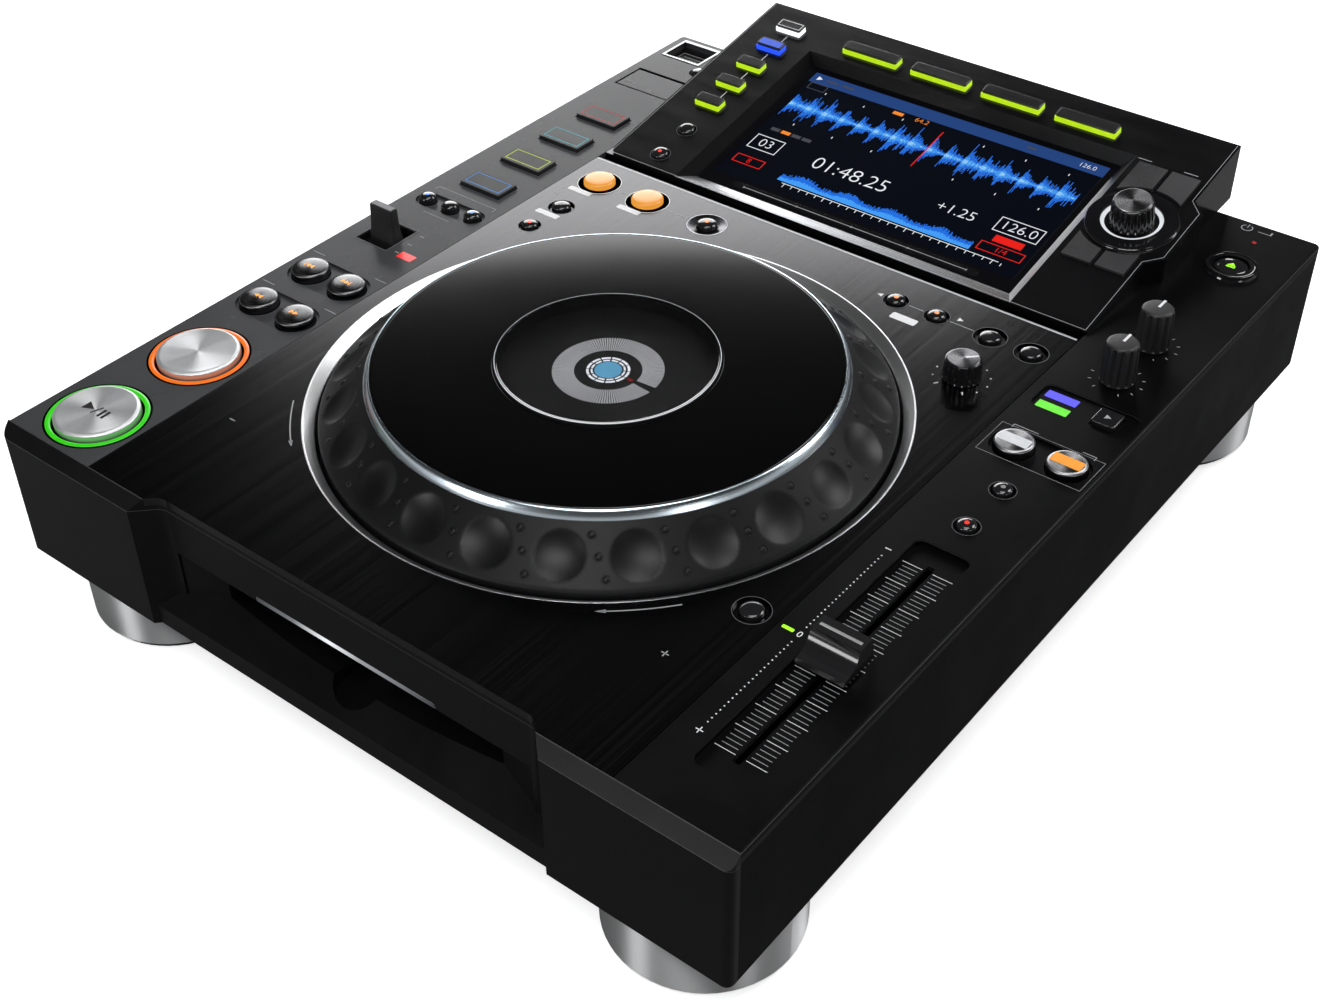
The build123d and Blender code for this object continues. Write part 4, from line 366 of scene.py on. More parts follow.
class Shape:
    """Collects faces in the millimetres of a frame, then becomes one object on a body."""

    def __init__(self, base):
        self.mesh = bmesh.new()
        self.base = base

    def stack(self, *rings):
        """A closed solid through rings of points, from the lowest to the highest."""
        rows = [[self.mesh.verts.new(point) for point in ring] for ring in rings]
        for low, high in zip(rows, rows[1:]):
            self.bridge(low, high)
        self.mesh.faces.new(list(reversed(rows[0])))
        self.mesh.faces.new(rows[-1])
        return self

    def bridge(self, a, b, closed=True):
        """Faces between two rows of points."""
        for i in range(len(a) if closed else len(a) - 1):
            j = (i + 1) % len(a)
            self.mesh.faces.new((a[i], b[i], b[j], a[j]))

    def prism(self, points, low, high):
        """An outline raised from one height to another."""
        return self.stack(*[[(x, y, z) for x, y in points] for z in (low, high)])

    def bar(self, x, y, width, depth, low=0.0, high=INK, radius=0.0, turn=0.0):
        """A rectangle, with rounded corners if a radius is given."""
        return self.prism(turned_points(rounded(width, depth, radius), x, y, turn), low, high)

    def outline(self, x, y, width, depth, line, low=0.0, high=INK):
        """The frame of a rectangle, as wide as its line inwards."""
        for side in (-1, 1):
            self.bar(x, y + side * (depth - line) / 2, width, line, low, high)
            self.bar(x + side * (width - line) / 2, y, line, depth - 2 * line, low, high)
        return self

    def triangle(self, x, y, length, height, turn=0.0, low=0.0, high=INK):
        """A triangle that points along x, then turned."""
        points = [(-length / 2, -height / 2), (length / 2, 0), (-length / 2, height / 2)]
        return self.prism(turned_points(points, x, y, turn), low, high)

    def lines(self, width, *runs, high=INK):
        """Straight lines of one width, each from x, y to x, y."""
        for x0, y0, x1, y1 in runs:
            run = Vector((x1 - x0, y1 - y0))
            self.bar((x0 + x1) / 2, (y0 + y1) / 2, run.length, width, high=high, turn=atan2(run.y, run.x))
        return self

    def disc(self, x, y, radius, low=0.0, high=INK, sides=32):
        return self.prism([(x + radius * cos(a), y + radius * sin(a)) for a in angles(sides)], low, high)

    def band(self, x, y, inner, outer, low=0.0, high=INK, start=0.0, end=360.0, sides=96):
        """A ring, or a part of one between two angles in degrees."""
        whole = end - start >= 360.0
        steps = max(2, int(sides * (end - start) / 360.0))
        rows = []
        for i in range(steps if whole else steps + 1):
            a = radians(start + (end - start) * i / steps)
            corners = ((inner, low), (outer, low), (outer, high), (inner, high))
            rows.append([(x + r * cos(a), y + r * sin(a), z) for r, z in corners])
        if not whole:
            return self.stack(*rows)
        rows = [[self.mesh.verts.new(point) for point in row] for row in rows]
        for a, b in zip(rows, rows[1:] + rows[:1]):
            self.bridge(a, b)
        return self

    def lathe(self, profile, x=0.0, y=0.0, sides=96, warp=None):
        """A closed section of radius and height, turned around an axis; warp may move each point."""
        rows = []
        for a in angles(sides):
            points = [warp(r, z, a) for r, z in profile] if warp else profile
            rows.append([self.mesh.verts.new((x + r * cos(a), y + r * sin(a), z)) for r, z in points])
        on_axis = profile[0][0] == 0 and profile[-1][0] == 0
        for a, b in zip(rows, rows[1:] + rows[:1]):
            self.bridge(a, b, not on_axis)
        return self

    def make(self, name, body, finish, replaces=(), smooth=30.0, bevel=0.0, slot=None):
        bmesh.ops.remove_doubles(self.mesh, verts=self.mesh.verts, dist=MERGE_REACH)
        bmesh.ops.recalc_face_normals(self.mesh, faces=self.mesh.faces)
        data = bpy.data.meshes.new(name)
        self.mesh.to_mesh(data)
        self.mesh.free()
        data.transform(self.base)
        data.shade_smooth()
        data.set_sharp_from_angle(angle=radians(smooth))
        piece = placed(name, data, body, finish)
        if bevel:
            round_edges(piece, bevel)
        if replaces:
            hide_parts(*replaces)
        return piece


def placed(name, data, body, finish):
    """A mesh of one finish as an object that rides on a body."""
    data.materials.clear()
    data.materials.append(finish)
    piece = bpy.data.objects.new(name, data)
    bpy.context.scene.collection.objects.link(piece)
    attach(piece, body)
    return piece


def paint(node, finish, bevel=0.0):
    """A CAD node keeps its shape and gets a finish, and a little rounding on its edges."""
    piece = frame["nodes"][node]
    piece.data.materials.clear()
    piece.data.materials.append(finish)
    if bevel:
        round_edges(piece, bevel)


def digits(text, base, size, body, finish, name, thin=0.0):
    """Plain figures laid on a surface; thin eats away their stroke, in shares of their height."""
    curve = bpy.data.curves.new(name, "FONT")
    curve.body = text
    curve.size = size
    curve.extrude = INK / 2
    curve.offset = -thin * size
    curve.align_x = "CENTER"
    curve.align_y = "CENTER"
    temporary = bpy.data.objects.new(name, curve)
    data = bpy.data.meshes.new_from_object(temporary)
    bpy.data.objects.remove(temporary)
    data.transform(base @ Matrix.Translation((0, 0, INK / 2)))
    placed(name, data, body, finish)


# ---- Finishes ----
# The grey level lines on the finishes below are painted edge highlights; the black line on the side paint is
# a dark panel gap.
PAINTED_EDGE_HIGHLIGHT = (0.06, 0.06, 0.062)
side_paint = moulded("side_paint", (0.0012, 0.0012, 0.0014), 0.38, 0.008, 0.3, specular=0.035)
with_lines(side_paint, (80.3, 0.6, (0.0, 0.0, 0.0)), (79.85, 0.25, PAINTED_EDGE_HIGHLIGHT))
left_grey = moulded("left_grey", (0.050, 0.051, 0.054), 0.27, 0.004, 0.3, mottle=0.06, specular=0.06)
right_black = moulded("right_black", (0.002, 0.002, 0.0023), 0.36, 0.010, 0.3, specular=0.05)
with_lines(right_black, (80.75, 0.25, PAINTED_EDGE_HIGHLIGHT), (83.2, 0.25, PAINTED_EDGE_HIGHLIGHT))
bezel_black = moulded("bezel_black", (0.0045, 0.0045, 0.005), 0.33, 0.010, 0.35, specular=0.14)
with_lines(bezel_black, (78.6, 0.22, PAINTED_EDGE_HIGHLIGHT), (83.45, 0.22, PAINTED_EDGE_HIGHLIGHT))
brushed_black = brushed("brushed_black", (0.055, 0.055, 0.057), 0.17, (2.6, 0.008, 1.2), 0.28, 0.006)
gloss_black = gloss("gloss_black", (0.006, 0.006, 0.007), 0.07)
module_black = gloss("module_black", (0.003, 0.003, 0.0035), 0.20, 0.004, 0.06, coat=0.15, specular=0.32)
plate_black = moulded("plate_black", (0.0008, 0.0008, 0.001), 0.10, 0.0, 2.0, mottle=0.05, cloud=0.004)
key_black = gloss("key_black", (0.010, 0.010, 0.011), 0.12, 0.006)
cap_gloss = gloss("cap_gloss", (0.012, 0.012, 0.013), 0.10, 0.004)
module_key = gloss("module_key", (0.010, 0.010, 0.011), 0.22, 0.006)
slider_gloss = gloss("slider_gloss", (0.014, 0.014, 0.015), 0.14, 0.004)
screen_black = gloss("screen_black", (0.003, 0.003, 0.004), 0.04, 0.002, 0.03)
rubber = moulded("wheel_rubber", (0.006, 0.0061, 0.0065), 0.46, 0.020, 0.45, mottle=0.08, specular=0.2)
# Dimple rubber is glossier, and painted darker than the cone as painted shade in the hollows.
dimple_rubber = moulded("dimple_rubber", (0.004, 0.004, 0.0045), 0.40, 0.010, 0.45, mottle=0.08, specular=0.3)
knob_rubber = moulded("knob_rubber", (0.016, 0.016, 0.017), 0.45, 0.012, 0.3)
pad_rubber = moulded("pad_rubber", (0.02, 0.02, 0.02), 0.8, 0.05, 0.6)
pad_grey = moulded("pad_grey", (0.016, 0.0165, 0.018), 0.45, 0.006, 0.4, specular=0.2)
nav_grey = moulded("nav_grey", (0.040, 0.040, 0.042), 0.30, 0.008, 0.3)
well_black = moulded("well_black", (0.004, 0.004, 0.004), 0.6)
# Near-black that mirrors nothing, filling gaps and wells: painted shade for their depth.
gap_black = moulded("gap_black", (0.001, 0.001, 0.001), 0.9, 0.0, 1.0, specular=0.0)
base_steel = moulded("base_steel", (0.03, 0.03, 0.03), 0.45, 0.02, 0.8, metal=0.6)
zinc = moulded("zinc_plate", (0.45, 0.46, 0.47), 0.34, 0.01, 0.6, metal=1.0)
board_green = moulded("board_green", (0.02, 0.09, 0.04), 0.4, 0.02, 1.0)
socket_black = moulded("socket_black", (0.02, 0.02, 0.021), 0.45, 0.02, 0.4)
ink_white = printed("ink_white", (0.78, 0.79, 0.80))
# Grey ink for prints, also used for painted highlight lines along edges.
ink_grey = printed("ink_grey", (0.36, 0.37, 0.38))
# Dim grey lines round recesses: painted highlights along their edges.
ink_dim = printed("ink_dim", (0.10, 0.10, 0.11))
ink_black = printed("ink_black", (0.01, 0.01, 0.01))
# Thin bright lines that glow a little: painted highlights along edges and rims.
line_bright = printed("line_bright", (0.75, 0.77, 0.80), 0.25, 0.3)
dim_red = printed("dim_red", (0.30, 0.01, 0.01), 0.5)
dim_cyan = printed("dim_cyan", (0.03, 0.24, 0.28), 0.55)
dim_lime = printed("dim_lime", (0.30, 0.38, 0.02), 0.6)
dim_blue = printed("dim_blue", (0.03, 0.14, 0.36), 0.6)
led_grey = printed("led_grey", (0.25, 0.25, 0.26), 0.1, 0.2)
glow_white = lit("glow_white", (0.95, 0.97, 1.0), 1.3)
glow_green = lit("glow_green", (0.035, 0.62, 0.008), 1.0)
glow_orange = lit("glow_orange", (0.90, 0.17, 0.006), 1.0)
glow_lime = lit("glow_lime", (0.50, 0.80, 0.012), 1.0)
glow_blue = lit("glow_blue", (0.02, 0.08, 0.85), 1.3)
glow_violet = lit("glow_violet", (0.10, 0.09, 0.95), 1.2)
glow_mode = lit("glow_mode", (0.16, 0.85, 0.05), 1.0)
glow_red = lit("glow_red", (0.90, 0.01, 0.01), 1.1)
led_red = lit("led_red", (1.0, 0.02, 0.01), 1.6)
led_orange = lit("led_orange", (1.0, 0.25, 0.03), 1.4)
led_blue = lit("led_blue", (0.03, 0.20, 1.0), 1.8)
led_green = lit("led_green", (0.35, 1.0, 0.02), 1.5)
symbol_orange = lit("symbol_orange", (1.0, 0.36, 0.03), 1.2)

# ---- CAD pieces whose own shape shows ----
FINISHES = {
    "front_bezel": (bezel_black, 0.35),
    "left_side_panel": (side_paint, 0.2),
    "right_side_panel": (side_paint, 0.2),
    "rear_panel": (side_paint, 0.2),
    "base_plate": (base_steel, 0.0),
    "left_strip": (left_grey, 0.12),
    "right_strip": (right_black, 0.12),
    "centre_panel": (brushed_black, 0.12),
    "display_housing": (module_black, 0.25),
    "jog_base": (well_black, 0.0),
    "screen": (screen_black, 0.0),
    "foot_pads": (pad_rubber, 0.3),
    "foot_screws": (zinc, 0.0),
    "main_board": (board_green, 0.0),
    "disc_drive": (zinc, 0.2),
    "turntable": (socket_black, 0.2),
    "rear_sockets": (socket_black, 0.15),
    "media_sockets": (socket_black, 0.0),
    "power_switch": (key_black, 0.2),
    "card_door": (left_grey, 0.15),
    "tempo_slider": (slider_gloss, 0.35),
    "nav_buttons": (nav_grey, 0.25),
}
for node, (finish, bevel) in FINISHES.items():
    paint(node, finish, bevel)

# ---- Jog wheel ----
WHEEL_RADIUS = 103.1
Z_WHEEL_EDGE = 82.6
CONE_RUN = 17.3
CONE_RISE = 14.7
CONE_LENGTH = hypot(CONE_RUN, CONE_RISE)
Z_CONE_TOP = Z_WHEEL_EDGE + CONE_RISE
DIMPLES = 24
DIMPLE_RADIUS = 8.7
DIMPLE_DEPTH = 1.7
DIMPLE_LIP = 0.25            # soft edge around a dimple
WHEEL_SIDES = 720
WHEEL_ROWS = 30
JOG = around(0, JOG_LINE, 0)
jog_axis = [spot(0, JOG_LINE, 0)]


def on_cone(run, angle):
    """Frame on the wheel's cone, at a run up its slope from the lower edge and at an angle."""
    lean = atan2(CONE_RISE, CONE_RUN)
    turn = Matrix.Rotation(angle, 4, "Z") @ Matrix.Translation((WHEEL_RADIUS, 0, Z_WHEEL_EDGE))
    return turn @ Matrix.Rotation(lean, 4, "Y") @ Matrix.Translation((-run, 0, 0))


def from_dimple(r, angle):
    """Distance along the cone from the middle of the nearest dimple."""
    run = (WHEEL_RADIUS - r) / CONE_RUN * CONE_LENGTH
    pitch = 2 * pi / DIMPLES
    aside = (angle + pitch / 2) % pitch - pitch / 2
    return hypot(run - CONE_LENGTH / 2, aside * (WHEEL_RADIUS - CONE_RUN / 2))


def inside_dimple(r, z, angle):
    return Z_WHEEL_EDGE < z < Z_CONE_TOP and from_dimple(r, angle) < DIMPLE_RADIUS - DIMPLE_LIP


def dimpled(r, z, angle):
    """Sinks a point of the cone into the nearest finger dimple."""
    if z <= Z_WHEEL_EDGE or r >= WHEEL_RADIUS or z >= Z_CONE_TOP:
        return r, z
    away = from_dimple(r, angle)
    if away >= DIMPLE_RADIUS:
        return r, z
    ball = (DIMPLE_RADIUS ** 2 + DIMPLE_DEPTH ** 2) / (2 * DIMPLE_DEPTH)
    sink = sqrt(ball ** 2 - away ** 2) - (ball - DIMPLE_DEPTH)
    sink = sink * min(1.0, (DIMPLE_RADIUS - away) / DIMPLE_LIP)
    return r - sink * CONE_RISE / CONE_LENGTH, z - sink * CONE_RUN / CONE_LENGTH


cone = []
for row in range(WHEEL_ROWS + 1):
    part = row / WHEEL_ROWS
    cone.append((WHEEL_RADIUS - CONE_RUN * part, Z_WHEEL_EDGE + CONE_RISE * part))
cone[0] = (WHEEL_RADIUS, Z_WHEEL_EDGE - 0.3)
cone[-1] = (WHEEL_RADIUS - CONE_RUN, Z_CONE_TOP)
wheel = Shape(JOG).lathe(
    [(45.4, 95.1), (98.6, 80.4), (98.6, 76.1), (102.9, 76.1), (103.1, 76.4)] + cone + [(45.4, Z_CONE_TOP)],
    sides=WHEEL_SIDES,
    warp=dimpled,
).make("jog_wheel_rubber", "jog", rubber, ["jog_wheel"], smooth=35.0, slot="wheel_rubber")
# Faces inside the dimples take the darker, glossier rubber: painted shade in the hollows.
wheel.data.materials.append(dimple_rubber)
for polygon in wheel.data.polygons:
    place = (polygon.center - jog_axis[0]) / MM
    if inside_dimple(hypot(place.x, place.y), place.z, atan2(place.y, place.x)):
        polygon.material_index = 1

PIMPLE_ROWS = ((4.1, 1.4), (11.35, 0.0), (18.5, -1.4))   # up the slope, and aside in degrees
PIMPLE = [
    (0, 0.45), (0.5, 0.42), (0.95, 0.28), (1.2, 0.02), (1.3, -0.1), (1.42, 0.1), (1.6, 0.12), (1.75, -0.1),
    (0, -0.1),
]
pimples = Shape(JOG)
for step in range(DIMPLES):
    for run, aside in PIMPLE_ROWS:
        place = on_cone(run, 2 * pi * (step + 0.5) / DIMPLES + radians(aside))
        start = len(pimples.mesh.verts)
        pimples.lathe(PIMPLE, sides=18)
        pimples.mesh.verts.ensure_lookup_table()
        for vertex in pimples.mesh.verts[start:]:
            vertex.co = place @ vertex.co
pimples.make("jog_wheel_pimples", "jog", rubber, smooth=40.0, slot="wheel_rubber")

ring_silver = turned("ring_silver", (0.88, 0.89, 0.90), jog_axis, 0.30, 1.2, 0.0004, 0.4)
trim_chrome = turned("trim_chrome", (0.74, 0.84, 0.93), jog_axis, 0.22, 1.0, 0.0003, 0.3)
RING_PROFILE = [
    (104.5, 78.3), (108.8, 78.3), (108.8, 83.45), (108.65, 83.6), (108.2, 83.6), (108.0, 83.5),
    (104.6, 80.7), (104.5, 80.5),
]
TRIM_PROFILE = [
    (83.5, 97.3), (85.8, 97.3), (85.75, 97.6), (85.3, 98.6), (84.75, 99.6), (84.3, 100.25), (83.9, 100.55),
    (83.5, 100.55),
]
PLATE_PROFILE = [
    (40.4, 96.0), (83.3, 96.0), (83.3, 100.2), (82.9, 100.55), (82.4, 100.6), (41.0, 100.6), (40.5, 100.3),
]
for name, body, profile, finish, node, smooth, slot in (
    ("jog_ring_polished", "chassis", RING_PROFILE, ring_silver, "jog_ring", 25.0, "polished_ring"),
    ("jog_trim_bright", "jog", TRIM_PROFILE, trim_chrome, "jog_trim", 50.0, "chrome_trim"),
    ("jog_plate_gloss", "jog", PLATE_PROFILE, plate_black, "jog_plate", 50.0, "gloss_black"),
):
    Shape(JOG).lathe(profile, sides=360).make(name, body, finish, [node], smooth, slot=slot)

# The window stands still in the middle, with its display sunk below the glass
WINDOW_RADIUS = 39.9
WINDOW_TOP = 101.6
DISPLAY_FLOOR = WINDOW_TOP - 6.6
Shape(JOG).lathe(
    [
        (0, 93.7), (WINDOW_RADIUS, 93.7), (WINDOW_RADIUS, WINDOW_TOP - 0.6), (39.3, WINDOW_TOP - 0.6),
        (39.3, DISPLAY_FLOOR + 0.5), (36.0, DISPLAY_FLOOR), (0, DISPLAY_FLOOR),
    ],
    sides=240,
).make("jog_display_cup", "chassis", well_black, ["jog_display"], slot="gloss_black")
RIM_PROFILE = [(39.0, 100.9), (39.9, 100.9), (39.9, 101.35), (39.75, 101.55), (39.5, 101.6), (39.0, 101.45)]
rim = Shape(JOG).lathe(RIM_PROFILE, sides=240)
rim.make("jog_display_rim", "chassis", gloss_black, smooth=60.0, slot="gloss_black")
# A bright line round the rim's edge: a painted highlight.
rim_highlight = Shape(JOG).lathe([(39.55, 101.5), (39.9, 101.2), (39.92, 101.35), (39.72, 101.6)], sides=240)
rim_highlight.make("jog_display_rim_line", "chassis", line_bright)


def clear_glass():
    """Clear window glass with wipe marks in its gloss."""
    n = Nodes("window_glass")
    wipe = n.noise((0.05, 0.2, 0.05), 5.0)
    return n.fit(
        Roughness=n.spread(wipe, 0.01, 0.06),
        Base_Color=n.ramp(wipe, (0.3, (0.75, 0.76, 0.78)), (0.7, (0.8, 0.8, 0.82))),
        Transmission_Weight=1.0,
        IOR=1.35,
    )


glass = Shape(JOG).lathe([(0, 101.0), (39.0, 101.0), (39.0, 101.4), (0, 101.4)], sides=160)
glass.make("jog_display_glass", "chassis", clear_glass(), slot="gloss_black")

DISPLAY = around(0, JOG_LINE, DISPLAY_FLOOR)
DISPLAY_TICKS = 130
TICK_GAP = 9.0               # degrees left out at the marker
display = Shape(DISPLAY)
for tick in range(DISPLAY_TICKS):
    middle = TICK_GAP / 2 + (360.0 - TICK_GAP) * (tick + 0.5) / DISPLAY_TICKS
    display.band(0, 0, 12.1, 19.9, 0.0, 0.1, middle - 0.9, middle + 0.9, sides=240)
display.make("jog_display_ticks", "chassis", printed("tick_light", (0.46, 0.46, 0.46), 0.55))
bright_rings = Shape(DISPLAY)
for part in range(12):
    bright_rings.band(0, 0, 6.9, 7.8, 0.0, 0.1, part * 30 + 2, part * 30 + 28)
    bright_rings.band(0, 0, 5.5, 6.2, 0.0, 0.1, part * 30 + 3, part * 30 + 27)
bright_rings.make("jog_display_rings", "chassis", printed("ring_light", (0.85, 0.86, 0.88), 0.85))
Shape(DISPLAY).disc(0, 0, 4.9, 0.0, 0.1, 48).make(
    "jog_display_disc", "chassis", printed("disc_light", (0.10, 0.32, 0.50), 0.9)
)
Shape(DISPLAY).bar(9.9, 0, 2.2, 1.3, 0.0, 0.1).make("jog_display_marker", "chassis", dim_red)

# ---- Transport keys ----
PLAY_LINE = 25.0
CUE_LINE = 71.5
BIG_RADIUS = 15.35
BIG_CAP = [
    (0, -5.0), (BIG_RADIUS, -5.0), (BIG_RADIUS, 1.7), (15.2, 2.0), (14.6, 2.4), (14.3, 2.55), (13.9, 2.6),
    (13.0, 2.52), (10.0, 2.46), (5.0, 2.42), (0, 2.4),
]
RING_GUIDE = [(16.4, -4.0), (18.3, -4.0), (18.3, 0.0), (18.1, 0.26), (17.3, 0.3), (16.6, 0.26), (16.4, 0.0)]
big_places = [spot(LEFT_LINE, line, Z_TOP) for line in (PLAY_LINE, CUE_LINE)]
big_metal = turned("big_key_metal", (0.62, 0.63, 0.64), big_places, 0.36, metal=0.7)
guide_replaces = ["light_guides"]
for node, line, light in (("play_button", PLAY_LINE, glow_green), ("cue_button", CUE_LINE, glow_orange)):
    base = around(LEFT_LINE, line)
    cap = Shape(base).lathe(BIG_CAP, sides=128)
    cap.make(node + "_cap", node, big_metal, [node], smooth=35.0, slot="key_metal")
    guide = Shape(base).lathe(RING_GUIDE, sides=128)
    guide.make(node + "_ring", "chassis", light, guide_replaces, smooth=50.0, slot="light_clear")
    guide_replaces = []
    # Black bands in the gaps round the lit ring: painted shadow lines.
    gap = Shape(base).band(0, 0, 18.3, 19.1).band(0, 0, 15.5, 16.5, -3.6, -0.5)
    gap.make(node + "_shadow_line", "chassis", gap_black)
play_mark = Shape(around(LEFT_LINE, PLAY_LINE, Z_TOP + 2.42)).triangle(-3.4, 0, 4.4, 4.4, high=0.12)
play_mark.lines(0.5, (-0.6, -2.4, 1.0, 2.4), high=0.12)
play_mark.bar(3.0, 0, 1.0, 4.2, high=0.12).bar(5.0, 0, 1.0, 4.2, high=0.12)
play_mark.make("play_symbol", "play_button", ink_black)

SEARCH_LINES = {"search_buttons": 110.0, "track_search_buttons": 137.0}
SEARCH_PITCH = 10.0
SEARCH_CAP = [
    (0, -3.0), (7.6, -3.0), (7.6, 1.3), (7.45, 1.8), (7.0, 2.2), (6.2, 2.45), (5.0, 2.62), (3.0, 2.74),
    (0, 2.8),
]
search_places = [
    spot(LEFT_LINE + side * SEARCH_PITCH, line, Z_TOP) for line in SEARCH_LINES.values() for side in (-1, 1)
]
search_metal = turned("search_metal", (0.13, 0.13, 0.135), search_places, 0.24, 1.0, 0.0003)
for node, line in SEARCH_LINES.items():
    caps = Shape(around(LEFT_LINE, line))
    marks = Shape(around(LEFT_LINE, line, Z_TOP + 2.7))
    for side in (-1, 1):
        caps.lathe(SEARCH_CAP, side * SEARCH_PITCH, 0, 64)
        turn = 0.0 if side > 0 else pi
        for reach in (SEARCH_PITCH - 1.1, SEARCH_PITCH + 0.9):
            marks.triangle(side * reach, 0, 2.0, 2.3, turn, high=0.16)
        if node == "track_search_buttons":
            marks.bar(side * (SEARCH_PITCH + 2.2), 0, 0.45, 2.3, high=0.16)
    caps.make(node + "_caps", node, search_metal, [node], smooth=40.0, slot="key_metal")
    marks.make(node + "_symbols", node, symbol_orange)


# ---- Small round keys ----
def dome(radius, rise):
    """Section of a domed cap with a rounded shoulder."""
    points = [(0, -3.0), (radius, -3.0), (radius, rise * 0.3)]
    for step in range(1, 6):
        a = pi / 2 * step / 6
        points.append((radius * cos(a) ** 0.55, rise * (0.3 + 0.7 * sin(a))))
    return points + [(0, rise)]


SMALL_KEYS = (
    # node, places, radius, rise, recess radius, lights
    ("usb_stop_button", [(-129.2, 366.4)], 3.4, 1.6, 4.6, ()),
    ("tempo_buttons", [(137.7, 158.7), (137.7, 182.0)], 3.4, 1.6, 4.6, (led_red, led_grey)),
    ("reloop_button", [(-43.8, 259.4)], 4.2, 1.6, 8.4, (led_orange,)),
    ("beat_loop_button", [(-100.3, 234.5)], 3.8, 1.6, 5.5, (led_grey,)),
    ("slip_button", [(-101.1, 215.6)], 3.4, 1.6, 4.6, (led_red,)),
    ("call_buttons", [(47.5, 258.2), (65.5, 258.2)], 3.6, 1.6, 5.0, (led_orange, led_orange)),
    ("memory_buttons", [(88.6, 258.2), (105.8, 258.2)], 4.0, 1.0, 6.4, ()),
    ("tempo_reset_button", [(106.1, 83.7)], 4.0, 1.0, 6.2, ()),
)
# Dim rings round each key's recess: painted highlights along its edge.
recess_highlight_rings = Shape(deck())
for node, places, radius, rise, recess, lights in SMALL_KEYS:
    caps = Shape(deck())
    for x, y in places:
        caps.lathe(dome(radius, rise), x, y, 48)
        recess_highlight_rings.band(x, y, recess, recess + 0.22, 0.0, 0.04)
    caps.make(node + "_caps", node, cap_gloss, [node], smooth=45.0, slot="key_black")
    for number, (place, light) in enumerate(zip(places, lights), start=1):
        key_light = Shape(deck(Z_TOP + rise)).disc(*place, 0.85, -0.1, 0.06, 24)
        key_light.make(f"{node}_light_{number}", node, light)
recess_highlight_rings.make("key_edge_rings", "chassis", ink_dim)

BANK_LINE = 206.0
BANK_PITCH = 12.5
banks = Shape(deck())
bank_lights = Shape(deck(Z_TOP + 2.4))
for step in (-1, 0, 1):
    banks.lathe(dome(3.6, 2.4), LEFT_LINE + step * BANK_PITCH, BANK_LINE, 48)
    if step:
        bank_lights.disc(LEFT_LINE + step * BANK_PITCH, BANK_LINE, 0.8, -0.1, 0.06, 24)
banks.make("bank_caps", "bank_buttons", cap_gloss, ["bank_buttons"], smooth=45.0, slot="key_black")
bank_lights.make("bank_lights", "bank_buttons", led_blue)
bank_lines = Shape(around(LEFT_LINE, BANK_LINE))
bank_lines.lines(0.25, (-16, 8, -16, 10.5), (-16, 10.5, 16, 10.5), (16, 8, 16, 10.5), (-7, -8.4, 7, -8.4))
bank_lines.make("bank_lines", "chassis", ink_grey)

# ---- Loop keys: amber caps, paler towards the user ----
LOOP_CAP = [(0, -3.0), (6.7, -3.0), (6.7, 1.4), (6.5, 1.9), (6.1, 2.25), (5.4, 2.4), (3.0, 2.46), (0, 2.48)]
LOOP_PLACES = {"loop_in_button": (-100.4, 259.4), "loop_out_button": (-74.7, 259.4)}
AMBER = ((0.1, (1.0, 0.40, 0.05)), (0.5, (1.0, 0.27, 0.02)), (0.9, (0.72, 0.13, 0.01)))
RELOOP = (-43.8, 259.4)
# Bright rings round the loop wells and the reloop bowl are painted highlights; the wells are lined with
# near-black painted shade.
loop_highlight_rings = Shape(deck())
loop_wells = Shape(deck())
for node, (x, y) in LOOP_PLACES.items():
    amber = lit_along(node + "_amber", 0.75, "Y", (0, FRONT + y, 0), 7.0, *AMBER)
    cap = Shape(around(x, y)).lathe(LOOP_CAP, sides=72)
    cap.make(node + "_cap", node, amber, [node], smooth=40.0, slot="key_amber")
    loop_highlight_rings.band(x, y, 9.1, 9.35, 0.0, 0.1)
    loop_wells.band(x, y, 6.75, 9.12, -1.15, 0.02)
loop_highlight_rings.make("loop_highlight_rings", "chassis", line_bright)
loop_wells.make("loop_wells", "chassis", gap_black)
Shape(deck()).band(*RELOOP, 8.1, 8.35, 0.0, 0.1).make("reloop_highlight_ring", "chassis", line_bright)
bowl_metal = turned("bowl_metal", (0.10, 0.10, 0.11), [spot(*RELOOP, 0)], 0.25, 0.22, 0.006, 0.75)
bowl = Shape(around(*RELOOP))
bowl.lathe([(4.9, -1.15), (8.0, -1.15), (8.0, -0.1), (7.5, -0.1), (4.9, -1.05)], sides=72)
bowl.make("reloop_bowl", "chassis", bowl_metal)

# ---- Sync and master keys, eject key ----
MASTER_CAP = [(0, -3.0), (7.2, -3.0), (7.2, 1.2), (7.0, 1.7), (6.5, 2.05), (5.8, 2.2), (0, 2.3)]
MASTER_KEYS = (
    ("sync_button", (128.2, 206.2), lit("sync_light", (0.80, 0.82, 0.85), 0.75)),
    ("master_button", (148.4, 206.2), lit("master_light", (0.95, 0.36, 0.04), 0.95)),
)
master_metal = turned("master_metal", (0.30, 0.30, 0.31), [spot(*place, 0) for _, place, _ in MASTER_KEYS])
for node, place, light in MASTER_KEYS:
    cap = Shape(around(*place)).lathe(MASTER_CAP, sides=72)
    cap.make(node + "_cap", node, master_metal, [node], smooth=40.0, slot="key_black")
    window = Shape(around(*place, Z_TOP + 2.2)).bar(0, 0, 11.4, 5.0, -0.1, 0.14, 0.5)
    window.make(node + "_window", node, light, bevel=0.05)
EJECT = (138.8, 357.0)
eject_cap = Shape(around(*EJECT)).lathe(dome(6.5, 1.2), sides=64)
eject_cap.make("eject_cap", "eject_button", cap_gloss, ["eject_button"], smooth=45.0, slot="key_black")
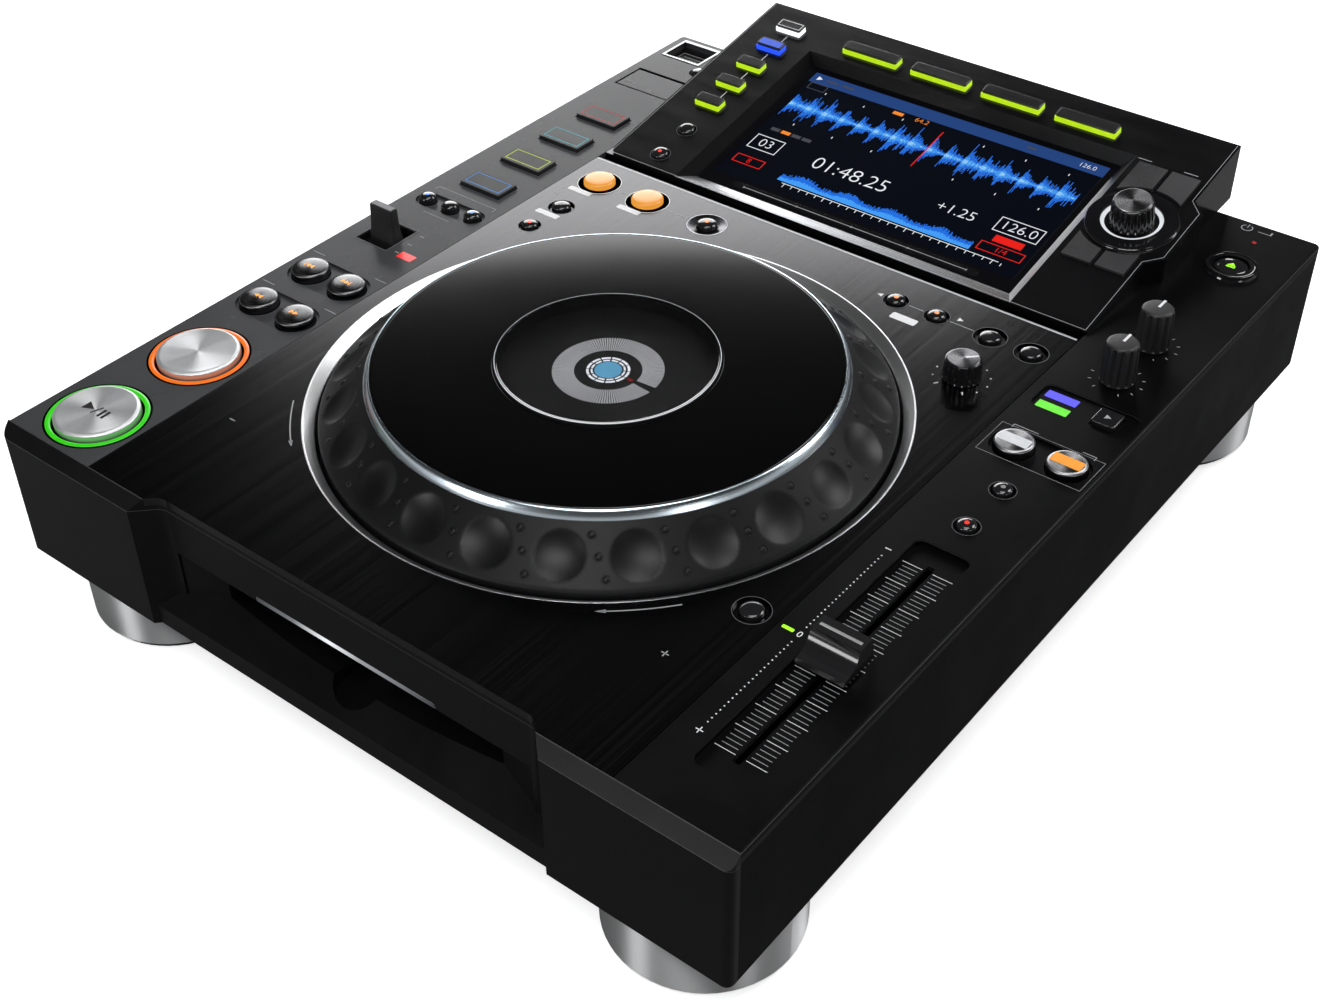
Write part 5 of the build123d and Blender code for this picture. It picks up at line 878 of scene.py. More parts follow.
eject_mark = Shape(around(*EJECT, Z_TOP + 1.2)).triangle(0, 0.5, 2.2, 3.6, pi / 2, -0.2, 0.06)
eject_mark.bar(0, -1.5, 3.6, 0.7, -0.2, 0.06).make("eject_symbol", "eject_button", led_green)

# ---- Pads ----
PAD_LINE = 229.0
PAD_PITCH = 25.3
for number, light in enumerate((dim_blue, dim_lime, dim_cyan, dim_red), start=1):
    node = f"hot_cue_pad_{number}"
    place = (LEFT_LINE + 0.5, PAD_LINE + (number - 1) * PAD_PITCH)
    pad = Shape(around(*place)).bar(0, 0, 22.0, 12.0, -3.0, 1.75, 1.0)
    pad.make(node + "_cap", node, pad_grey, [node], bevel=0.45, slot="key_black")
    Shape(around(*place, Z_TOP + 1.75)).outline(0, 0, 19.0, 8.6, 0.45).make(node + "_outline", node, light)
    # The dim outline round each pad's recess is a painted highlight along its edge.
    Shape(around(*place)).outline(0, 0, 23.4, 13.4, 0.35).make(node + "_edge", "chassis", ink_dim)


# ---- Knobs ----
def fluted(count, depth, low, high):
    """Scallops around a knob's side between two heights."""
    def warp(r, z, angle):
        if r < 1.0 or not low <= z <= high:
            return r, z
        return r - depth * (0.5 + 0.5 * cos(count * angle)) ** 2.5, z
    return warp


def ray(x, y, angle, inner, outer):
    """A run from one distance to another from a place, at an angle in degrees."""
    a = radians(angle)
    return x + inner * cos(a), y + inner * sin(a), x + outer * cos(a), y + outer * sin(a)


KNOB_PROFILE = [
    (0, 0.4), (6.4, 0.4), (6.4, 0.8), (6.35, 6.0), (6.2, 12.0), (6.1, 15.2), (5.8, 15.9), (5.3, 16.35),
    (4.6, 16.5), (0, 16.5),
]
knob_scale = Shape(deck())
for node, line in (("knob_a", 289.5), ("knob_b", 262.0)):
    knob = Shape(around(RIGHT_LINE, line)).lathe(KNOB_PROFILE, sides=192, warp=fluted(12, 0.9, 0.7, 15.4))
    knob.make(node + "_grip", node, knob_rubber, [node], smooth=40.0, slot="knob_black")
    pointer = Shape(around(RIGHT_LINE, line, Z_TOP + 16.5)).bar(0, 3.0, 1.0, 5.4, -0.1, 0.06)
    pointer.make(node + "_pointer", node, ink_white)
    knob_scale.lines(0.3, *[ray(RIGHT_LINE, line, -60 + 30 * step, 9.0, 10.2) for step in range(11)])
knob_scale.make("knob_scale", "chassis", ink_grey)

ADJUST = (93.3, 229.9)
adjust = Shape(around(*ADJUST)).lathe(
    [(0, 0.4), (7.2, 0.4), (7.2, 0.8), (7.0, 4.0), (6.7, 7.4), (6.45, 8.1), (6.0, 8.3), (0, 8.3)],
    sides=216,
    warp=fluted(18, 0.55, 0.7, 7.5),
)
adjust.make(
    "jog_adjust_grip", "jog_adjust_knob", key_black, ["jog_adjust_knob"], smooth=40.0, slot="knob_black"
)
adjust_metal = turned("adjust_metal", (0.20, 0.20, 0.21), [spot(*ADJUST, 0)])
adjust_top = Shape(around(*ADJUST, Z_TOP + 8.3))
adjust_top.lathe([(0, 0.0), (6.0, 0.0), (5.8, 0.25), (5.4, 0.3), (0, 0.3)])
adjust_top.make("jog_adjust_top", "jog_adjust_knob", adjust_metal, slot="key_metal")
adjust_pointer = Shape(around(*ADJUST, Z_TOP + 8.58)).lines(0.9, (0.5, 0.5, 3.9, 3.9))
adjust_pointer.make("jog_adjust_pointer", "jog_adjust_knob", ink_white)
adjust_scale = Shape(deck())
adjust_scale.lines(0.45, ray(*ADJUST, -58, 9.4, 11.2))
for step in range(1, 10):
    adjust_scale.disc(*ray(*ADJUST, -58 + 29.6 * step, 10.4, 0)[:2], 0.3, sides=12)
adjust_scale.lines(0.45, ray(*ADJUST, 238, 9.4, 11.2))
adjust_scale.make("jog_adjust_scale", "chassis", ink_white)

# ---- Tempo slider and its scale ----
FADER_X = RIGHT_LINE + 0.2
FADER_LINE = 83.7
FADER_FLOOR = Z_TOP - 2.0
TICK_PITCH = 2.0
DOT_X = 123.75
ticks = Shape(deck(FADER_FLOOR))
long_ticks = Shape(deck(FADER_FLOOR))
dots = Shape(deck())
for step in range(-25, 26):
    y = FADER_LINE + TICK_PITCH * step
    shape, inner, outer = (long_ticks, 1.9, 9.3) if step % 5 == 0 else (ticks, 2.4, 8.1)
    shape.lines(0.2, *[(FADER_X + side * inner, y, FADER_X + side * outer, y) for side in (-1, 1)])
    if 1 < abs(step) < 24:
        dots.disc(DOT_X, y, 0.28, sides=10)
# The printed ticks glow a little: painted light on print.
ticks.make("tempo_ticks", "chassis", printed("tick_grey", (0.30, 0.31, 0.32), 0.10))
long_ticks.make("tempo_long_ticks", "chassis", printed("tick_white", (0.66, 0.67, 0.68), 0.16))
dots.lines(0.35, (122.6, 133.7, 124.9, 133.7), (122.4, 33.7, 125.1, 33.7), (DOT_X, 32.35, DOT_X, 35.05))
dots.make("tempo_dots", "chassis", ink_white)
digits("0", deck() @ Matrix.Translation((123.9, FADER_LINE, 0)), 3.6, "chassis", ink_white, "tempo_zero")
centre_light = Shape(deck()).bar(119.5, 83.9, 4.2, 1.3, 0.0, 0.12, 0.3)
centre_light.make("tempo_centre_light", "chassis", led_green)
slider_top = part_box("tempo_slider")[1][2] / MM
slider_silver = brushed("slider_silver", (0.75, 0.76, 0.78), 0.3, (0.02, 2.0, 1.0))
slider_line = Shape(deck(slider_top)).bar(FADER_X, FADER_LINE, 15.0, 1.2, -0.1, 0.06)
slider_line.make("tempo_slider_line", "tempo_slider", slider_silver)

# ---- Jog mode lights and key, prints and lights on the right ----
for name, y, light in (("violet", 240.9, glow_violet), ("green", 233.9, glow_mode)):
    block = Shape(deck(Z_TOP - 0.8)).bar(128.0, y, 12.2, 4.2, -0.05, 0.12, 0.3)
    block.make(f"mode_light_{name}", "chassis", light)
MODE_KEY = (147.0, 238.2)
mode_key = Shape(around(*MODE_KEY)).bar(0, 0, 9.0, 9.0, -3.0, 1.15, 0.9)
mode_key.make(
    "jog_mode_cap", "jog_mode_button", key_black, ["jog_mode_button"], bevel=0.4, slot="key_black"
)
mode_mark = Shape(around(*MODE_KEY, Z_TOP + 1.15)).triangle(0.2, 0, 2.2, 2.6)
mode_mark.make("jog_mode_mark", "jog_mode_button", ink_grey)
right_prints = Shape(deck())
right_prints.lines(
    0.3,
    (122.5, 216.6, 132.0, 216.6), (122.5, 216.6, 122.5, 214.6), (154.2, 216.6, 149.0, 216.6),
    (154.2, 216.6, 154.2, 214.6), (135.8, 388.6, 141.0, 388.6),
)
right_prints.outline(RIGHT_LINE, 206.2, 39.8, 18.6, 0.12)
right_prints.band(131.0, 388.9, 2.0, 2.4, start=120, end=420, sides=40)
right_prints.lines(0.4, (131.0, 389.2, 131.0, 391.9)).lines(0.7, (141.0, 388.4, 141.0, 390.8))
right_prints.make("right_strip_prints", "chassis", ink_grey)
standby = Shape(around(138.1, 379.7))
standby.lathe([(0, -0.1), (0.9, -0.1), (0.9, 0.15), (0.7, 0.3), (0, 0.35)], sides=24)
standby.make("standby_light", "chassis", lit("standby_red", (0.42, 0.012, 0.01), 0.8))
eject_ring = Shape(around(*EJECT))
eject_ring.lathe([
    (6.9, 0.1), (10.65, 0.0), (10.3, 0.9), (9.9, 1.35), (9.4, 1.5), (8.6, 1.45), (7.4, 0.9), (6.9, 0.5),
])
eject_ring.make("eject_ring_gloss", "chassis", gloss_black, smooth=40.0)

# ---- Centre panel prints ----
ARC_RADIUS = 112.5
centre_prints = Shape(deck())
for start, end, head, turn in ((218.5, 231.5, 231.5, pi / 2), (308.0, 321.0, 308.0, -pi / 2)):
    centre_prints.band(0, JOG_LINE, ARC_RADIUS - 0.22, ARC_RADIUS + 0.22, 0.0, INK, start, end, 240)
    tip = ray(0, JOG_LINE, head, ARC_RADIUS, 0)[:2]
    centre_prints.triangle(*tip, 3.4, 1.5, radians(head) + turn)
centre_prints.lines(0.4, (-98.0, 52.4, -95.4, 52.4), (95.2, 52.4, 98.0, 52.4), (96.6, 51.0, 96.6, 53.8))
centre_prints.lines(
    0.3,
    (-87.5, 258.8, -83.0, 258.8), (-66.0, 258.8, -52.6, 258.8), (-110.6, 249.0, -110.6, 242.0),
    (-110.6, 242.0, -106.5, 242.0), (53.2, 258.2, 59.8, 258.2), (71.3, 258.2, 81.6, 258.2),
)
centre_prints.make("centre_prints", "chassis", ink_grey)
labels = Shape(deck()).triangle(40.3, 258.2, 2.2, 2.4, pi).triangle(74.2, 261.4, 2.2, 2.4)
labels.bar(56.6, 249.2, 11.0, 4.0, radius=0.8)
for x, y in ((-102.8, 249.3), (-76.8, 249.6), (-101.5, 227.0)):
    labels.bar(x, y, 11.4, 3.0, radius=0.6)
labels.make("centre_label_blocks", "chassis", ink_white)
# Two bright lines along the centre panel's back edge: painted highlights.
edge_line = Shape(deck())
edge_line.lines(0.28, (-114.9, 275.7, 114.9, 275.7)).lines(0.16, (-114.9, 276.3, 114.9, 276.3))
edge_line.make("panel_back_highlight", "chassis", line_bright)

# ---- Left strip ----
LEVER = (LEFT_LINE - 6.0, 175.0)
LEVER_SECTIONS = (
    # height, width, depth
    (0.0, 13.6, 7.0),
    (11.6, 13.4, 5.9),
    (13.0, 12.8, 5.2),
    (18.0, 12.4, 4.4),
    (23.0, 12.2, 4.1),
    (24.4, 12.0, 3.9),
)
# The dim outline round the lever's slot is a painted highlight along its edge.
Shape(deck()).outline(*LEVER, 18.0, 19.0, 0.5, 0.0, 0.15).make("lever_slot_edge", "chassis", ink_dim)
slot_lining = Shape(deck()).outline(*LEVER, 16.98, 17.98, 0.5, -2.8, -0.05)
slot_lining.make("lever_slot_lining", "chassis", well_black)
sections = [[(x, y, z) for x, y in rounded(width, depth, 0.8)] for z, width, depth in LEVER_SECTIONS]
lever = Shape(around(*LEVER, Z_TOP - 11.0)).stack(*sections)
lever.make(
    "direction_lever_grip", "direction_lever", knob_rubber, ["direction_lever"], bevel=0.35,
    slot="knob_black",
)
# The lever's top is a lighter grey than its grip: painted light on the face that looks up.
lever_top = Shape(around(*LEVER, Z_TOP + 13.35)).bar(0, 0, 10.9, 2.9, 0.0, 0.15, 0.6)
lever_top.make("direction_lever_top", "direction_lever", printed("lever_top", (0.16, 0.16, 0.17), 0.0, 0.4))
left_prints = Shape(deck())
left_prints.lines(0.35, *[(-130.6, 175 + 7.2 * step, -128.4, 175 + 7.2 * step) for step in (-1, 0, 1)])
for y in (148.6, 121.6):
    left_prints.lines(0.28, (-157.0, y, -150.5, y), (-122.5, y, -116.5, y))
left_prints.outline(-120.6, 333.0, 2.6, 3.2, 0.3).make("left_strip_prints", "chassis", ink_grey)
Shape(deck()).bar(-124.0, 167.5, 7.6, 4.2, 0.0, 0.1, 0.3).make("direction_light", "chassis", glow_red)
door_low, door_high = (corner / MM for corner in map(Vector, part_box("card_door")))
door_x, door_y = (door_low.x + door_high.x) / 2, (door_low.y + door_high.y) / 2 - FRONT
# The door's gap is filled with painted shade.
Shape(deck()).outline(door_x, door_y, 32.8, 19.2, 0.9).make("card_door_edge", "chassis", gap_black)
# A grey line along the door's front edge: a painted highlight.
door_highlight = Shape(deck()).lines(0.25, (door_x - 16.4, door_y - 9.6, door_x + 16.4, door_y - 9.6))
door_highlight.make("card_door_light_edge", "chassis", ink_grey)
USB = (-144.4, 380.9)
usb_frame = Shape(deck()).outline(*USB, 21.4, 18.6, 1.1, -0.1, 0.35)
usb_frame.bar(USB[0], USB[1] + 8.2, 19.4, 1.4, -0.1, 0.3)
usb_metal = brushed("usb_metal", (0.34, 0.345, 0.35), 0.32, (0.05, 1.6, 1.0))
usb_frame.make("usb_frame", "chassis", usb_metal, bevel=0.12)
usb_shell = Shape(deck(Z_TOP - 6.0)).outline(*USB, 13.2, 5.6, 0.45, 0.0, 3.4)
usb_grey = moulded("usb_shell_grey", (0.06, 0.06, 0.062), 0.3, 0.01, 0.4)
usb_shell.make("usb_shell", "chassis", usb_grey, bevel=0.08)
usb_tongue = Shape(deck(Z_TOP - 9.0)).bar(USB[0], USB[1] + 0.9, 11.0, 1.6, 0.0, 5.6)
usb_tongue.make("usb_tongue", "chassis", socket_black)

# ---- Painted highlights along the edges of the display module's face ----
MODULE_EDGE = (
    (-113.2, 125.4), (-113.2, 0.8), (114.9, 0.8), (114.9, 44.6), (120.8, 50.6), (120.8, 80.0),
    (114.9, 86.0), (114.9, 125.4),
)
edge_runs = [(*start, *end) for start, end in zip(MODULE_EDGE, MODULE_EDGE[1:])]
Shape(face()).lines(0.2, *edge_runs).make("module_edge_highlights", "chassis", ink_grey)

# ---- Keys on the display module ----
SOURCE_X = -95.0
SOURCE_S = 48.7
SOURCE_PITCH = 15.57
MENU_X = -50.5
MENU_S = 110.3
MENU_PITCH = 35.4
SKIRT_RISE = 1.5
CAP_RISE = 2.55
source_places = [(SOURCE_X, SOURCE_S + SOURCE_PITCH * step) for step in range(5)]
menu_places = [(MENU_X + MENU_PITCH * step, MENU_S) for step in range(4)]


def skirted_keys(name, places, width, depth, lights):
    """Black caps over lit skirts that show around their feet."""
    node = name + "_buttons"
    caps = Shape(face())
    for x, s in places:
        caps.bar(x, s + 0.35, width - 0.5, depth - 0.9, SKIRT_RISE - 0.1, CAP_RISE, 0.9)
    caps.make(name + "_caps", node, module_key, [node], bevel=0.3, slot="key_black")
    for number, (place, light) in enumerate(zip(places, lights), start=1):
        skirt = Shape(face()).bar(*place, width, depth, -1.5, SKIRT_RISE, 1.0)
        skirt.make(f"{name}_skirt_{number}", node, light, bevel=0.12)


skirted_keys("source", source_places, 13.0, 6.3, (glow_lime, glow_lime, glow_lime, glow_blue, glow_white))
skirted_keys("menu", menu_places, 28.0, 6.7, [glow_lime] * 4)
CAP_FACE = face(height=CAP_RISE - 0.02)
source_face = Shape(CAP_FACE).bar(SOURCE_X, source_places[3][1] + 0.35, 11.2, 4.0, 0.0, 0.06, 0.5)
source_face.make("source_lit_face", "source_buttons", lit("blue_face", (0.04, 0.12, 0.80), 0.8))
source_frame = Shape(CAP_FACE).outline(SOURCE_X, source_places[4][1] + 0.35, 11.6, 4.4, 0.3, 0.0, 0.06)
source_frame.make("source_white_frame", "source_buttons", ink_white)
source_links = [(x + 1.5, s + 4.6, x + 1.5, s + SOURCE_PITCH - 5.0) for x, s in source_places[:-1]]
Shape(face()).lines(0.3, *source_links).make("source_links", "chassis", ink_white)
menu_marks = [(x - 9.0, s + 5.6, x - 3.0, s + 5.6) for x, s in menu_places]
Shape(face()).lines(0.35, *menu_marks).make("menu_marks", "chassis", ink_white)
# Dim rings round the mode keys are painted highlights along their recesses.
mode_caps = Shape(face())
for s in (28.5, 9.6):
    mode_caps.lathe(dome(3.6, 1.6), -92.8, s, 48)
    Shape(face()).band(-92.8, s, 4.3, 4.5).make(f"mode_highlight_ring_{int(s)}", "chassis", ink_dim)
mode_caps.make("mode_caps", "mode_buttons", cap_gloss, ["mode_buttons"], smooth=45.0, slot="key_black")
Shape(face(height=1.6)).disc(-92.8, 9.6, 0.8, -0.1, 0.06, 24).make("mode_light", "mode_buttons", led_red)

# ---- Selector and the prints around it ----
SELECTOR = (100.4, 63.8)
tilted = (0.0, -sin(TILT), cos(TILT))
selector_metal = turned("selector_metal", (0.26, 0.26, 0.27), [face(*SELECTOR).translation], axis=tilted)
selector = Shape(face(*SELECTOR)).lathe(
    [(0, 0.4), (8.7, 0.4), (8.7, 0.9), (8.5, 5.0), (8.15, 9.2), (7.8, 10.2), (7.3, 10.6), (0, 10.6)],
    sides=240,
    warp=fluted(20, 0.75, 0.8, 9.4),
)
selector.make(
    "selector_grip", "selector_knob", key_black, ["selector_knob"], smooth=40.0, slot="knob_black"
)
selector_top = Shape(face(*SELECTOR, 10.6)).lathe([(0, 0.0), (7.3, 0.0), (7.1, 0.3), (6.6, 0.4), (0, 0.32)])
selector_top.make("selector_top", "selector_knob", selector_metal, slot="key_metal")
halo = Shape(face(*SELECTOR))
halo.lathe([(10.6, 0.0), (12.2, 0.0), (12.2, 0.5), (11.9, 0.75), (10.9, 0.75), (10.6, 0.5)])
halo.make("selector_halo", "chassis", lit("selector_light", (0.85, 0.88, 0.92), 0.8), smooth=50.0)
SELECTOR_RING = [
    (12.3, 0.0), (18.5, 0.0), (18.4, 0.5), (17.9, 1.0), (17.2, 1.25), (14.0, 1.3), (12.8, 1.1), (12.3, 0.7),
]
selector_ring = Shape(face(*SELECTOR)).lathe(SELECTOR_RING, sides=144)
selector_ring.make("selector_ring", "chassis", gloss_black, smooth=40.0, slot="gloss_black")
nav_marks = Shape(face()).lines(0.35, (84.0, 100.6, 90.0, 100.6), (104.0, 100.6, 110.0, 100.6))
nav_marks.make("nav_marks", "chassis", ink_grey)

# ---- Screen: linings of its recess, and what it shows ----
SCREEN_SINK = 5.5
LINING = 0.06                # thickness of the plates on the bevels of the recess


def corners_of(left, right, front, back):
    """Corners of a rectangle on the module's face, from the front left one round to the back left one."""
    return [(left, front), (right, front), (right, back), (left, back)]


def painted_reflection_metal():
    """Satin metal with a painted reflection: bright at its left end, darkening to the right."""
    n = Nodes("bevel_front_metal")
    grain = n.noise((0.03, 3.0, 3.0), 4.0)
    tone = n.ramp(
        along(n, "X", (0, 0, 0), 80.0),
        (0.0, (0.75, 0.76, 0.78)),
        (0.30, (0.42, 0.43, 0.45)),
        (0.62, (0.05, 0.05, 0.055)),
        (0.75, (0.012, 0.012, 0.013)),
    )
    gleam = n.spread(grain, 0.22, 0.34)
    return n.fit(Base_Color=tone, Roughness=gleam, Normal=n.bump(grain, 0.004), Metallic=0.9)


# The right lining is painted a grey metal sheen; the left one keeps the black of the recess.
bevel_painted_sheen = brushed("bevel_right_metal", (0.16, 0.16, 0.17), 0.30, (1.0, 0.02, 1.0))
bevel_black = moulded("bevel_left_black", (0.004, 0.004, 0.0045), 0.5, 0.004, 0.5, specular=0.05)
TUB = corners_of(-78.0, 83.0, 0.2, 101.5)
GLASS = corners_of(-74.7, 77.5, 9.8, 99.0)
for name, a, b, finish in (
    ("screen_bevel_front", 0, 1, painted_reflection_metal()),
    ("screen_bevel_right", 1, 2, bevel_painted_sheen),
    ("screen_bevel_left", 3, 0, bevel_black),
):
    low = [(*TUB[a], 0), (*TUB[b], 0), (*GLASS[b], -SCREEN_SINK), (*GLASS[a], -SCREEN_SINK)]
    high = [(x, s, z + LINING) for x, s, z in low]
    Shape(face()).stack(low, high).make(name, "chassis", finish)

LCD = face(height=-SCREEN_SINK)
LCD_LEFT, LCD_RIGHT, LCD_FRONT, LCD_BACK = -70.5, 74.5, 17.5, 95.5
LCD_MIDDLE = (LCD_LEFT + LCD_RIGHT) / 2
LCD_WIDTH = LCD_RIGHT - LCD_LEFT
LCD_STEP = 0.42
WAVE_LINE = 71.5
WAVE_REACH = 11.0
OVERVIEW_FOOT = 24.6
OVERVIEW_REACH = 7.2
ui_white = shown("ui_white", (0.80, 0.84, 0.88))
ui_red = shown("ui_red", (0.80, 0.015, 0.01))
ui_orange = shown("ui_orange", (0.90, 0.25, 0.03))
ground = Shape(LCD).bar(LCD_MIDDLE, (LCD_FRONT + LCD_BACK) / 2, LCD_WIDTH, LCD_BACK - LCD_FRONT, 0, 0.03)
ground.make("lcd_ground", "chassis", shown("ui_deep", (0.0015, 0.0025, 0.006)))
title = Shape(LCD).bar(LCD_MIDDLE, LCD_BACK - 3.4, LCD_WIDTH, 6.8, 0.03, 0.05)
title.make("lcd_title_bar", "chassis", shown("ui_navy", (0.018, 0.055, 0.20)))
waves = random.Random(7)
wave_blue, wave_sky, wave_white = Shape(LCD), Shape(LCD), Shape(LCD)
count = int((LCD_WIDTH - 4.0) / LCD_STEP)
beat = 0.0
for step in range(count):
    x = LCD_LEFT + 2.0 + LCD_STEP * step
    beat = 1.0 if step % 21 == 0 else beat * 0.86
    swell = 0.20 + 0.30 * sin(step * 0.031 + 0.6) ** 2
    reach = WAVE_REACH * min(1.0, swell * (0.25 + 0.75 * waves.random() ** 2) + 0.62 * beat)
    lean = reach * (waves.random() - 0.5) * 0.5
    wave_blue.bar(x, WAVE_LINE + lean, LCD_STEP * 0.8, 2 * reach, 0.03, 0.08)
    wave_sky.bar(x, WAVE_LINE, LCD_STEP * 0.8, reach * (0.6 + 0.3 * waves.random()), 0.08, 0.10)
    if beat > 0.5 or waves.random() > 0.75:
        wave_white.bar(x, WAVE_LINE, LCD_STEP * 0.8, reach * 0.30, 0.10, 0.12)
for step in range(int(count * 0.66)):
    x = LCD_LEFT + 28.0 + LCD_STEP * step
    reach = OVERVIEW_REACH * (0.35 + 0.35 * sin(step * 0.06) ** 2 + 0.30 * waves.random())
    wave_blue.bar(x, OVERVIEW_FOOT + reach / 2, LCD_STEP * 0.9, reach, 0.03, 0.08)
    wave_sky.bar(x, OVERVIEW_FOOT + reach / 4, LCD_STEP * 0.9, reach / 2, 0.08, 0.10)
wave_blue.make("lcd_wave_blue", "chassis", shown("ui_blue", (0.015, 0.15, 0.72)))
wave_sky.make("lcd_wave_sky", "chassis", shown("ui_sky", (0.06, 0.34, 0.90)))
wave_white.make("lcd_wave_white", "chassis", shown("ui_pale", (0.30, 0.62, 0.95)))
whites, reds, oranges, greys = Shape(LCD), Shape(LCD), Shape(LCD), Shape(LCD)
reds.bar(2.0, WAVE_LINE, 0.5, 2 * WAVE_REACH + 1.5, 0.12, 0.15)
for step in range(-3, 4):
    mark = reds if step == 0 else whites
    for side in (1, -1):
        mark.bar(2.0 + step * 20.0, WAVE_LINE + side * (WAVE_REACH + 1.4), 0.35, 1.2, 0.03, 0.1)
whites.bar(12.5, OVERVIEW_FOOT - 1.0, 104.0, 0.3, 0.03, 0.1)
for step in range(27):
    whites.bar(-38.0 + 4.0 * step, OVERVIEW_FOOT - 2.0, 0.3, 1.6 if step % 5 else 2.6, 0.03, 0.1)
for step in range(4):
    (oranges if step == 1 else greys).bar(-63.0 + 5.4 * step, 52.5, 4.4, 2.0, 0.03, 0.1)
for shape, x, s, width, depth, line in (
    (whites, -60.6, 42.0, 14.5, 9.5, 0.35),
    (whites, 62.0, 44.0, 20.0, 9.0, 0.35),
    (greys, -64.0, 86.4, 9.0, 4.6, 0.3),
    (reds, -60.6, 29.0, 14.5, 5.4, 0.35),
    (reds, 62.0, 29.4, 20.0, 5.4, 0.35),
):
    shape.outline(x, s, width, depth, line, 0.03, 0.1)
reds.bar(62.0, 35.6, 13.0, 4.0, 0.03, 0.1)
oranges.bar(-22.0, 86.6, 5.0, 2.0, 0.03, 0.1)
for x, width in ((-60.0, 6.0), (-51.5, 6.0), (40.0, 4.0)):
    greys.bar(x, 92.2, width, 1.1, 0.05, 0.1)
whites.triangle(-66.5, 92.2, 2.6, 2.8, 0.0, 0.05, 0.1)
whites.make("lcd_whites", "chassis", ui_white)
reds.make("lcd_reds", "chassis", ui_red)
oranges.make("lcd_oranges", "chassis", ui_orange)
greys.make("lcd_greys", "chassis", shown("ui_grey", (0.06, 0.065, 0.075)))
LCD_DIGITS = (
    # text, x, s, height, finish
    ("03", -60.6, 42.0, 7.4, ui_white),
    ("01:48.25", -17.0, 41.5, 11.0, ui_white),
    ("+1.25", 34.0, 42.2, 8.0, ui_white),
    ("126.0", 62.0, 44.0, 7.4, ui_white),
    ("1/4", 62.0, 29.4, 4.4, ui_red),
    ("8", -60.6, 29.0, 4.2, ui_red),
    ("64.2", -10.0, 86.6, 4.0, ui_orange),
    ("126.0", 66.0, 92.2, 3.6, ui_white),
)
for number, (text, x, s, height, finish) in enumerate(LCD_DIGITS, start=1):
    place = LCD @ Matrix.Translation((x, s, 0.04))
    digits(text, place, height, "chassis", finish, f"lcd_figures_{number}", thin=0.016)
groove = Shape(LCD).bar(2.0, 13.6, 118.0, 3.4, 0.0, 0.12, 1.6)
groove.make("touch_groove", "chassis", gloss_black, bevel=0.04)
groove_line = Shape(LCD).bar(2.0, 13.6, 108.0, 0.3, 0.12, 0.16)
for step in (-1, -0.5, 0, 0.5, 1):
    groove_line.bar(2.0 + 54.0 * step, 13.6, 0.35, 1.2, 0.12, 0.16)
groove_line.make("touch_groove_line", "chassis", ink_grey)

# ---- Disc slot's light, feet and rear jacks ----
# The slot's light peaks left of its middle and fades dark towards both ends: a lit strip with a painted
# highlight in its tones.
bar_light = lit_along(
    "bar_light", 1.0, "X", (0, 0, 0), 41.0,
    (0.0, (0.04, 0.04, 0.045)),
    (0.22, (0.16, 0.17, 0.18)),
    (0.42, (0.9, 0.92, 0.95)),
    (0.60, (0.30, 0.31, 0.33)),
    (1.0, (0.03, 0.03, 0.035)),
)
slot_light = Shape(deck(0)).bar(0, 9.4, 82.0, 2.0, 60.45, 62.6, 0.9)
slot_light.make("slot_light", "chassis", bar_light, bevel=0.3, slot="light_clear")
foot_places = [spot(side * 124.3, y, 0) for side in (-1, 1) for y in (35.8, 360.9)]
foot_metal = turned("foot_metal", (0.80, 0.81, 0.82), foot_places, 0.42, 1.2, 0.002, 0.95)
Nodes(foot_metal).fit(Anisotropic_Rotation=0.25)      # stretches the gleam upright
paint("feet", foot_metal, 0.6)
BODY_DEPTH = 394.3
Z_SOCKET = 57.8
facing_back = Matrix.Rotation(pi / 2, 4, "X") @ Matrix.Rotation(pi, 4, "Y")
rear = Matrix.Translation(spot(0, BODY_DEPTH, 0)) @ facing_back @ Matrix.Scale(MM, 4)
JACKS = (
    (-124.0, (0.7, 0.7, 0.7)),
    (-104.0, (0.6, 0.02, 0.02)),
    (-84.0, (0.6, 0.24, 0.02)),
    (-64.0, (0.02, 0.02, 0.02)),
)
for number, (x, color) in enumerate(JACKS, start=1):
    jack_ring = Shape(rear @ Matrix.Translation((-x, Z_SOCKET, 0))).band(0, 0, 5.0, 6.1, 1.6, 1.75)
    jack_ring.make(f"jack_ring_{number}", "chassis", printed(f"jack_color_{number}", color))

# ---- Every face's shading follows its largest flats ----
for piece in list(bpy.context.scene.objects):
    if piece.type == "MESH" and not any(modifier.type == "BEVEL" for modifier in piece.modifiers):
        modifier = piece.modifiers.new("even_shading", "WEIGHTED_NORMAL")
        modifier.keep_sharp = True
        modifier.weight = 80

# ---- Camera, floor and light ----
camera_data = bpy.data.cameras.new("camera")
camera_data.lens = 49.82
camera_data.sensor_width = 36.0
camera_data.shift_x, camera_data.shift_y = 0.00316, -0.01073
camera_data.clip_start = 0.02
camera = bpy.data.objects.new("camera", camera_data)
camera.location = spot(343.63, -257.98, 466.89)
camera.rotation_euler = [radians(angle) for angle in (51.2188, 0.6512, 38.2455)]
bpy.context.scene.collection.objects.link(camera)
bpy.context.scene.camera = camera

FLOOR_HALF = 12.0            # metres
FLOOR_SINK = 0.0005          # metres below the feet
FLOOR_GLOW = 0.72
WHITE = (1.0, 1.0, 1.0, 1.0)
MIRRORED_FLOOR = (0.20, 0.20, 0.20, 1.0)
ROOM_BANDS = ((0.0, 0.5), (0.12, 0.5), (0.26, 0.02), (1.0, 0.02))   # by the height of a direction


